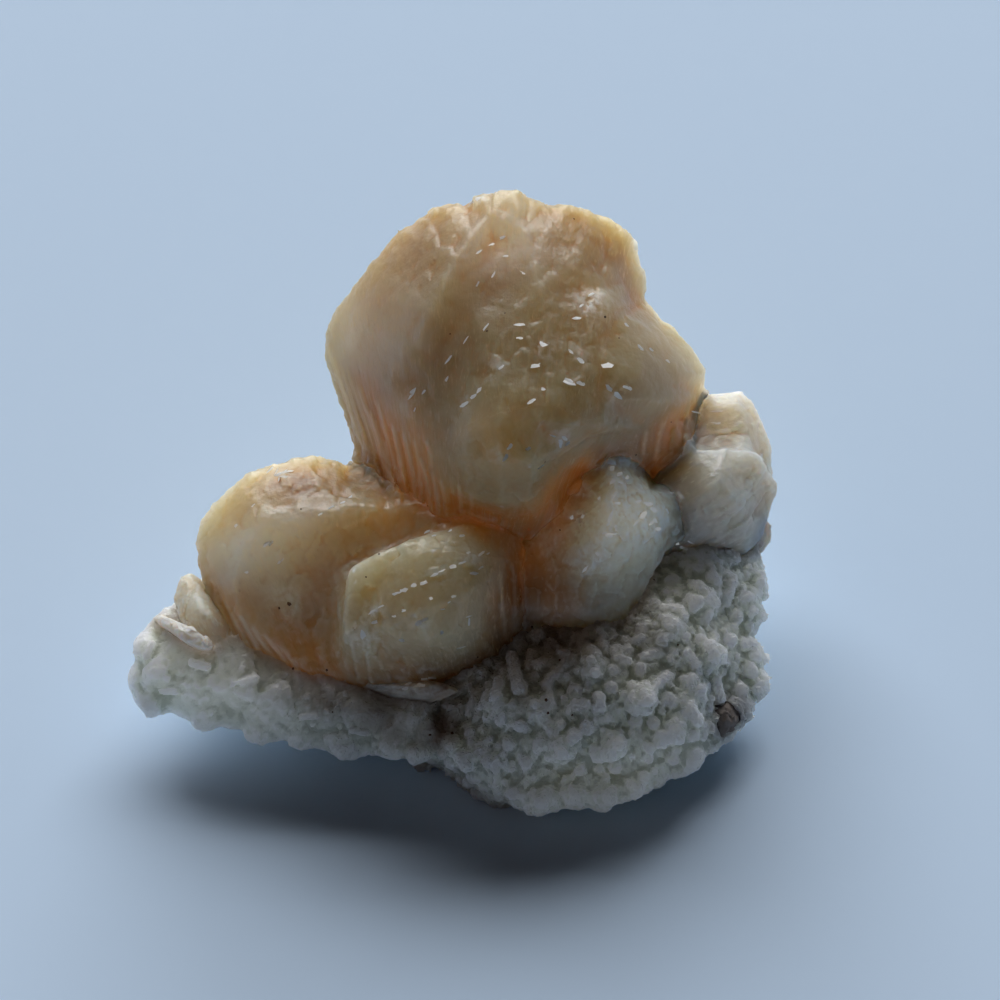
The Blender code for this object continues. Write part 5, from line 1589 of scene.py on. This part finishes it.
MADE, NORMALS, NOOK = {}, {}, {}
for name in PIECES:
    v, q = SHELL[name]
    vf = v.astype(F)
    nor = vertex_normals(v, q)
    NORMALS[name] = nor
    near, seam = closeness(name, vf)
    NOOK[name] = near
    data = {"nook": near, "seam": seam, "edge": np.clip(curvature(v, q, nor, 3) / .06, -1, 1),
            "swell": np.clip(curvature(v, q, nor, 40) / .35, -1, 1)}
    data["painted_glow"], data["painted_through_glow"] = painted_spots(v, PAINTED_GLOW), np.clip(painted_spots(v, PAINTED_THROUGH_GLOW), 0, 1)
    if name not in ("druse_matrix", "basalt_remnant"):
        fan, own = facing(name, vf)
        axes = np.stack([b.c for b in PIECES[name].blocks])[own]
        data["ends"] = step01((nor * axes).sum(1).astype(F), .2, .75)
        data["frost_and_sheen"] = np.clip(painted_spots(v, FROST_AND_SHEEN), 0, 1)
        front = PIECES[name].front
        data["glint"] = front.bright(vf) if front is not None else np.zeros(len(v), F)
        data["amber_and_glow"] = np.clip(painted_spots(v, AMBER_AND_GLOW), 0, 1)
        data["grey_and_painted_light"] = np.clip(painted_spots(v, GREY_AND_PAINTED_LIGHT), 0, 1)
        data["painted_shade"] = np.clip(painted_spots(v, PAINTED_SHADE), 0, .95)
    elif name == "druse_matrix":
        base = PIECES[name].base(vf)
        data["hollow"] = np.clip(-base * 1.1 - .1, 0, 1)
        tone = np.zeros(len(v), F)
        rim = np.zeros(len(v), F)
        order = np.argsort(v[:, 0])
        xs = v[order, 0]
        for st in STUBS:
            if st.tone < .35:
                continue
            a_, b_ = np.searchsorted(xs, (st.place[0] - st.reach, st.place[0] + st.reach))
            k = order[a_:b_]
            k = k[(np.abs(v[k] - st.place) < st.reach).all(1)]
            if len(k) == 0:
                continue
            d = st(vf[k])
            on_ = np.abs(d) < .16
            k = k[on_]
            tone[k] = np.maximum(tone[k], st.tone)
            c_ = (v[k] - st.place)
            h_ = c_ @ st.c
            r_ = np.linalg.norm(c_ - h_[:, None] * st.c, axis=1) / (st.width / 2)
            rim[k] = np.maximum(rim[k], st.tone * step01(r_.astype(F), .55, .85) * (h_ > st.length * .35))
        data["tone"], data["rim"] = tone, rim
        data["painted_crust_shade"] = np.clip(painted_spots(v, PAINTED_CRUST_SHADE), 0, 1)
    if name == "druse_matrix":
        away = 1 + .03 * (9 - (v - MID) @ AX_W)
        away *= .45 + .55 * step01(v[:, 0], -6, 1)
        v = v + np.random.default_rng(5).uniform(-.26, .26, v.shape) * (GRAIN_MM[name] * away)[:, None]
        v[:, 2] = np.maximum(v[:, 2], 0)
    ob = make_object(name + "_grown", v, q, data, smooth=name != "druse_matrix")
    if name not in ("druse_matrix", "basalt_remnant"):
        at_ = ob.data.attributes.new("fan", "FLOAT_VECTOR", "POINT")
        at_.data.foreach_set("vector", fan.ravel())
    ob.data.materials.append(MATERIALS[name])
    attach(ob, "root")
    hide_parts(name)
    MADE[name] = ob
    print("piece", name, len(v), len(q) * 2)


# ----------------------------------------------------- small joined crystals
class Heap:
    """Many small closed crystals gathered into one mesh."""

    def __init__(self):
        self.v, self.f, self.data, self.n = [], [], {}, 0

    def add(self, verts, tris, **values):
        self.v.append(verts)
        self.f.append(tris + self.n)
        self.n += len(verts)
        for k, x in values.items():
            self.data.setdefault(k, []).append(np.broadcast_to(np.asarray(x, F), (len(verts),)))

    def build(self, name, material):
        ob = make_object(name, np.concatenate(self.v), np.concatenate(self.f),
                         {k: np.concatenate(x) for k, x in self.data.items()}, smooth=False)
        ob.data.materials.append(material)
        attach(ob, "root")
        print("heap", name, len(ob.data.polygons))
        return ob


def ring_tris(k, a, b):
    out = []
    for i in range(k):
        j = (i + 1) % k
        out += [(a + i, a + j, b + j), (a + i, b + j, b + i)]
    return out


K = 6
STUB_TRIS = np.array(ring_tris(K, 0, K) + ring_tris(K, K, 2 * K)
                     + [(2 * K + i, 2 * K + (i + 1) % K, 3 * K) for i in range(K)]
                     + [(0, i + 1, i) for i in range(1, K - 1)])


def stub(place, axis, width, length, rng, flat=.72, point=.12, sink=.5):
    """A stubby six-sided crystal with a chamfered, slightly domed end."""
    a, b, c = frame_of(axis, rng.normal(size=3))
    ang = np.arange(K) * (2 * math.pi / K) + rng.uniform(0, 1)
    r = width / 2 * (1 + rng.uniform(-.14, .14, K))
    s = 1 + rng.uniform(-.25, .1)
    ring = np.outer(np.cos(ang) * r, a) + np.outer(np.sin(ang) * r * s, b)
    top = length
    tip = (rng.uniform(-.12, .12) * a + rng.uniform(-.12, .12) * b) * width
    rows = [ring * .9 - c * length * sink, ring + c * top * (1 - .28 * rng.uniform(.6, 1.2)),
            ring * flat + c * top + tip, (c * (top + point * width) + tip)[None]]
    hgt = np.concatenate([np.zeros(K), np.full(K, .7), np.ones(K + 1)])
    return np.concatenate(rows) + place, STUB_TRIS, hgt


HALF = np.array([0, .06, 1.0])      # the way a face looks when it mirrors the window to the eye


def plate(place, normal, slope, length, width, rng, level=.65, sides=8):
    """A small shelf of irregular outline, its top nearly level."""
    n = normal / np.linalg.norm(normal)
    n = n + AX_W * max(0, .35 - n @ AX_W)
    m = HALF * level + n * (1 - level)
    a = math.radians(slope)
    ti, si = AX_U * math.cos(a) + AX_V * math.sin(a), -AX_U * math.sin(a) + AX_V * math.cos(a)
    t = ti - AX_W * (ti @ n) / (n @ AX_W)
    s_m, s_n = si - AX_W * (si @ m) / (m @ AX_W), si - AX_W * (si @ n) / (n @ AX_W)
    lift = max(abs((s_m - s_n) @ AX_W) * width / 2 * rng.uniform(.25, .75), .07 if level > .55 else .15)
    ang = (np.arange(sides) + rng.uniform(-.3, .3, sides)) * (2 * math.pi / sides)
    r = rng.uniform(.62, 1.12, sides)
    x, y = np.cos(ang) * r * length / 2, np.sin(ang) * r * width / 2
    top = place + np.outer(x, t) + np.outer(y, s_m) + AX_W * lift + rng.normal(size=(sides, 3)) * .02
    foot = top + (place - top) * .12 - AX_W * (2 * lift + .3)
    tris = [(0, i, i + 1) for i in range(1, sides - 1)] + [(sides, sides + i + 1, sides + i) for i in range(1, sides - 1)]
    for i in range(sides):
        k = (i + 1) % sides
        tris += [(i, sides + i, sides + k), (i, sides + k, k)]
    return np.concatenate([top, foot]), np.array(tris)


rng = np.random.default_rng(11)

ledges = Heap()
for rows, level in ((MAIN_LEDGES, .62), (LEFT_LEDGES, .6), (FROSTED_LEDGES, .5), (OTHER_LEDGES, .5)):
    for gx, gy, slope, long_, wide_ in rows:
        parts = 1 if long_ < 16 else 2
        for k in range(parts):
            x = (k + .5) / parts - .5 + rng.uniform(-.1, .1)
            if rng.uniform() < .12:
                continue
            hit, n_, owner = spot(gx + long_ * x * math.cos(math.radians(slope)) + rng.uniform(-2, 2),
                                  gy - long_ * x * math.sin(math.radians(slope)) + rng.uniform(-2.4, 2.4))
            if hit is None or owner == "druse_matrix" or n_ @ AX_W < .15:
                continue
            sv, st = plate(hit, n_, slope + rng.uniform(-14, 14), long_ / parts * STEP * rng.uniform(.8, 1.2), wide_ * STEP * rng.uniform(.5, 1.2), rng, level)
            # the ledges' painted glow, stronger on the frosted crystal
            ledges.add(sv, st, tone=rng.uniform(.1, .7) + (1.6 if owner == "frosted_sheaf" else 0))
ledges.build("bright_ledges", glint_material("pearly_painted_glint", (.86, .84, .80)))

# dark specks caught in the nooks
specks = Heap()
for name, count, lo_, hi_ in (("druse_matrix", 26, .35, .95), ("left_sheaves", 6, .4, .9)):
    v, q = SHELL[name]
    wt = ((NOOK[name] > lo_) & (NOOK[name] < hi_) & (v[:, 2] > 2)).astype(float)
    for i in spaced(v, wt, 1.2, rng, count):
        s_ = rng.uniform(.08, .16)
        sv, st, sh_ = stub(v[i], rng.normal(size=3), s_ * 1.6, s_, rng)
        specks.add(sv, st, tone=0)
for gx, gy, s_ in [(605, 317, .30), (574, 219, .22), (450, 334, .18), (505, 313, .18), (619, 338, .2), (671, 422, .2), (487, 331, .25), (289, 604, .5),
                   (279, 608, .3), (379, 554, .24), (366, 577, .22), (301, 509, .2), (545, 462, .2), (636, 455, .22), (560, 530, .2),
                   (546, 700, .4), (548, 713, .35), (560, 660, .3), (572, 715, .3), (594, 634, .22), (678, 645, .22), (430, 735, .3), (452, 733, .35)]:
    hit, n_, owner = spot(gx, gy)
    if hit is not None:
        s_ *= .6
        sv, st, sh_ = stub(hit - n_ * s_ * .3, n_ + rng.normal(size=3) * .3, s_ * 1.7, s_ * .6, rng)
        specks.add(sv, st, tone=0)
specks.build("dark_specks", dirt_material("dark_specks"))


# ------------------------------------------------------- camera and setting
cam = bpy.data.cameras.new("view")
cam_ob = bpy.data.objects.new("view", cam)
bpy.context.scene.collection.objects.link(cam_ob)
cam_ob.location = EYE * .001
cam_ob.rotation_euler = (Vector(MID * .001) - Vector(EYE * .001)).to_track_quat("-Z", "Y").to_euler()
cam.sensor_width = 36
cam.lens = 36 / (2 * (500 * STEP / REACH))
cam.clip_start = .01
bpy.context.scene.camera = cam_ob

me = bpy.data.meshes.new("floor")
me.from_pydata([(-3, -3, 0), (3, -3, 0), (3, 3, 0), (-3, 3, 0)], [], [(0, 1, 2, 3)])
floor = bpy.data.objects.new("floor", me)
bpy.context.scene.collection.objects.link(floor)
m, nt, sh = tree_of("paper")
N = Nodes(nt)
co = nt.nodes.new("ShaderNodeTexCoord").outputs["Object"]
nt.links.new(N.mix(N.noise(co, 9.0, 2.0), (.590, .750, .955), (.605, .765, .970)), sh.inputs["Base Color"])
nt.links.new(N.span(N.noise(co, 300.0), .3, .7, .85, .95), sh.inputs["Roughness"])
sh.inputs["Specular IOR Level"].default_value = .15
me.materials.append(m)


def softbox(name, place, wide, high, power, colour=(1, 1, 1), target=(0, 0, .02)):
    lamp = bpy.data.lights.new(name, "AREA")
    lamp.shape = "RECTANGLE"
    lamp.size, lamp.size_y, lamp.energy, lamp.color = wide, high, power, colour
    ob = bpy.data.objects.new(name, lamp)
    bpy.context.scene.collection.objects.link(ob)
    ob.location = place
    ob.rotation_euler = (Vector(target) - Vector(place)).to_track_quat("-Z", "Y").to_euler()
    return ob


softbox("window", (-.10, 2.58, 2.50), 4.6, 1.4, 133.0)
softbox("window_low", (0, 3.40, 1.10), 2.6, .9, 42.0)
softbox("room_left", (-2.18, -1.26, 1.97), 1.8, 1.4, 2.4, (1.0, .76, .66))
world = bpy.data.worlds.new("room")
bpy.context.scene.world = world
world.use_nodes = True
world.node_tree.nodes["Background"].inputs[0].default_value = (1.0, .80, .75, 1)
world.node_tree.nodes["Background"].inputs[1].default_value = .006
bpy.context.scene.view_settings.view_transform = "Standard"
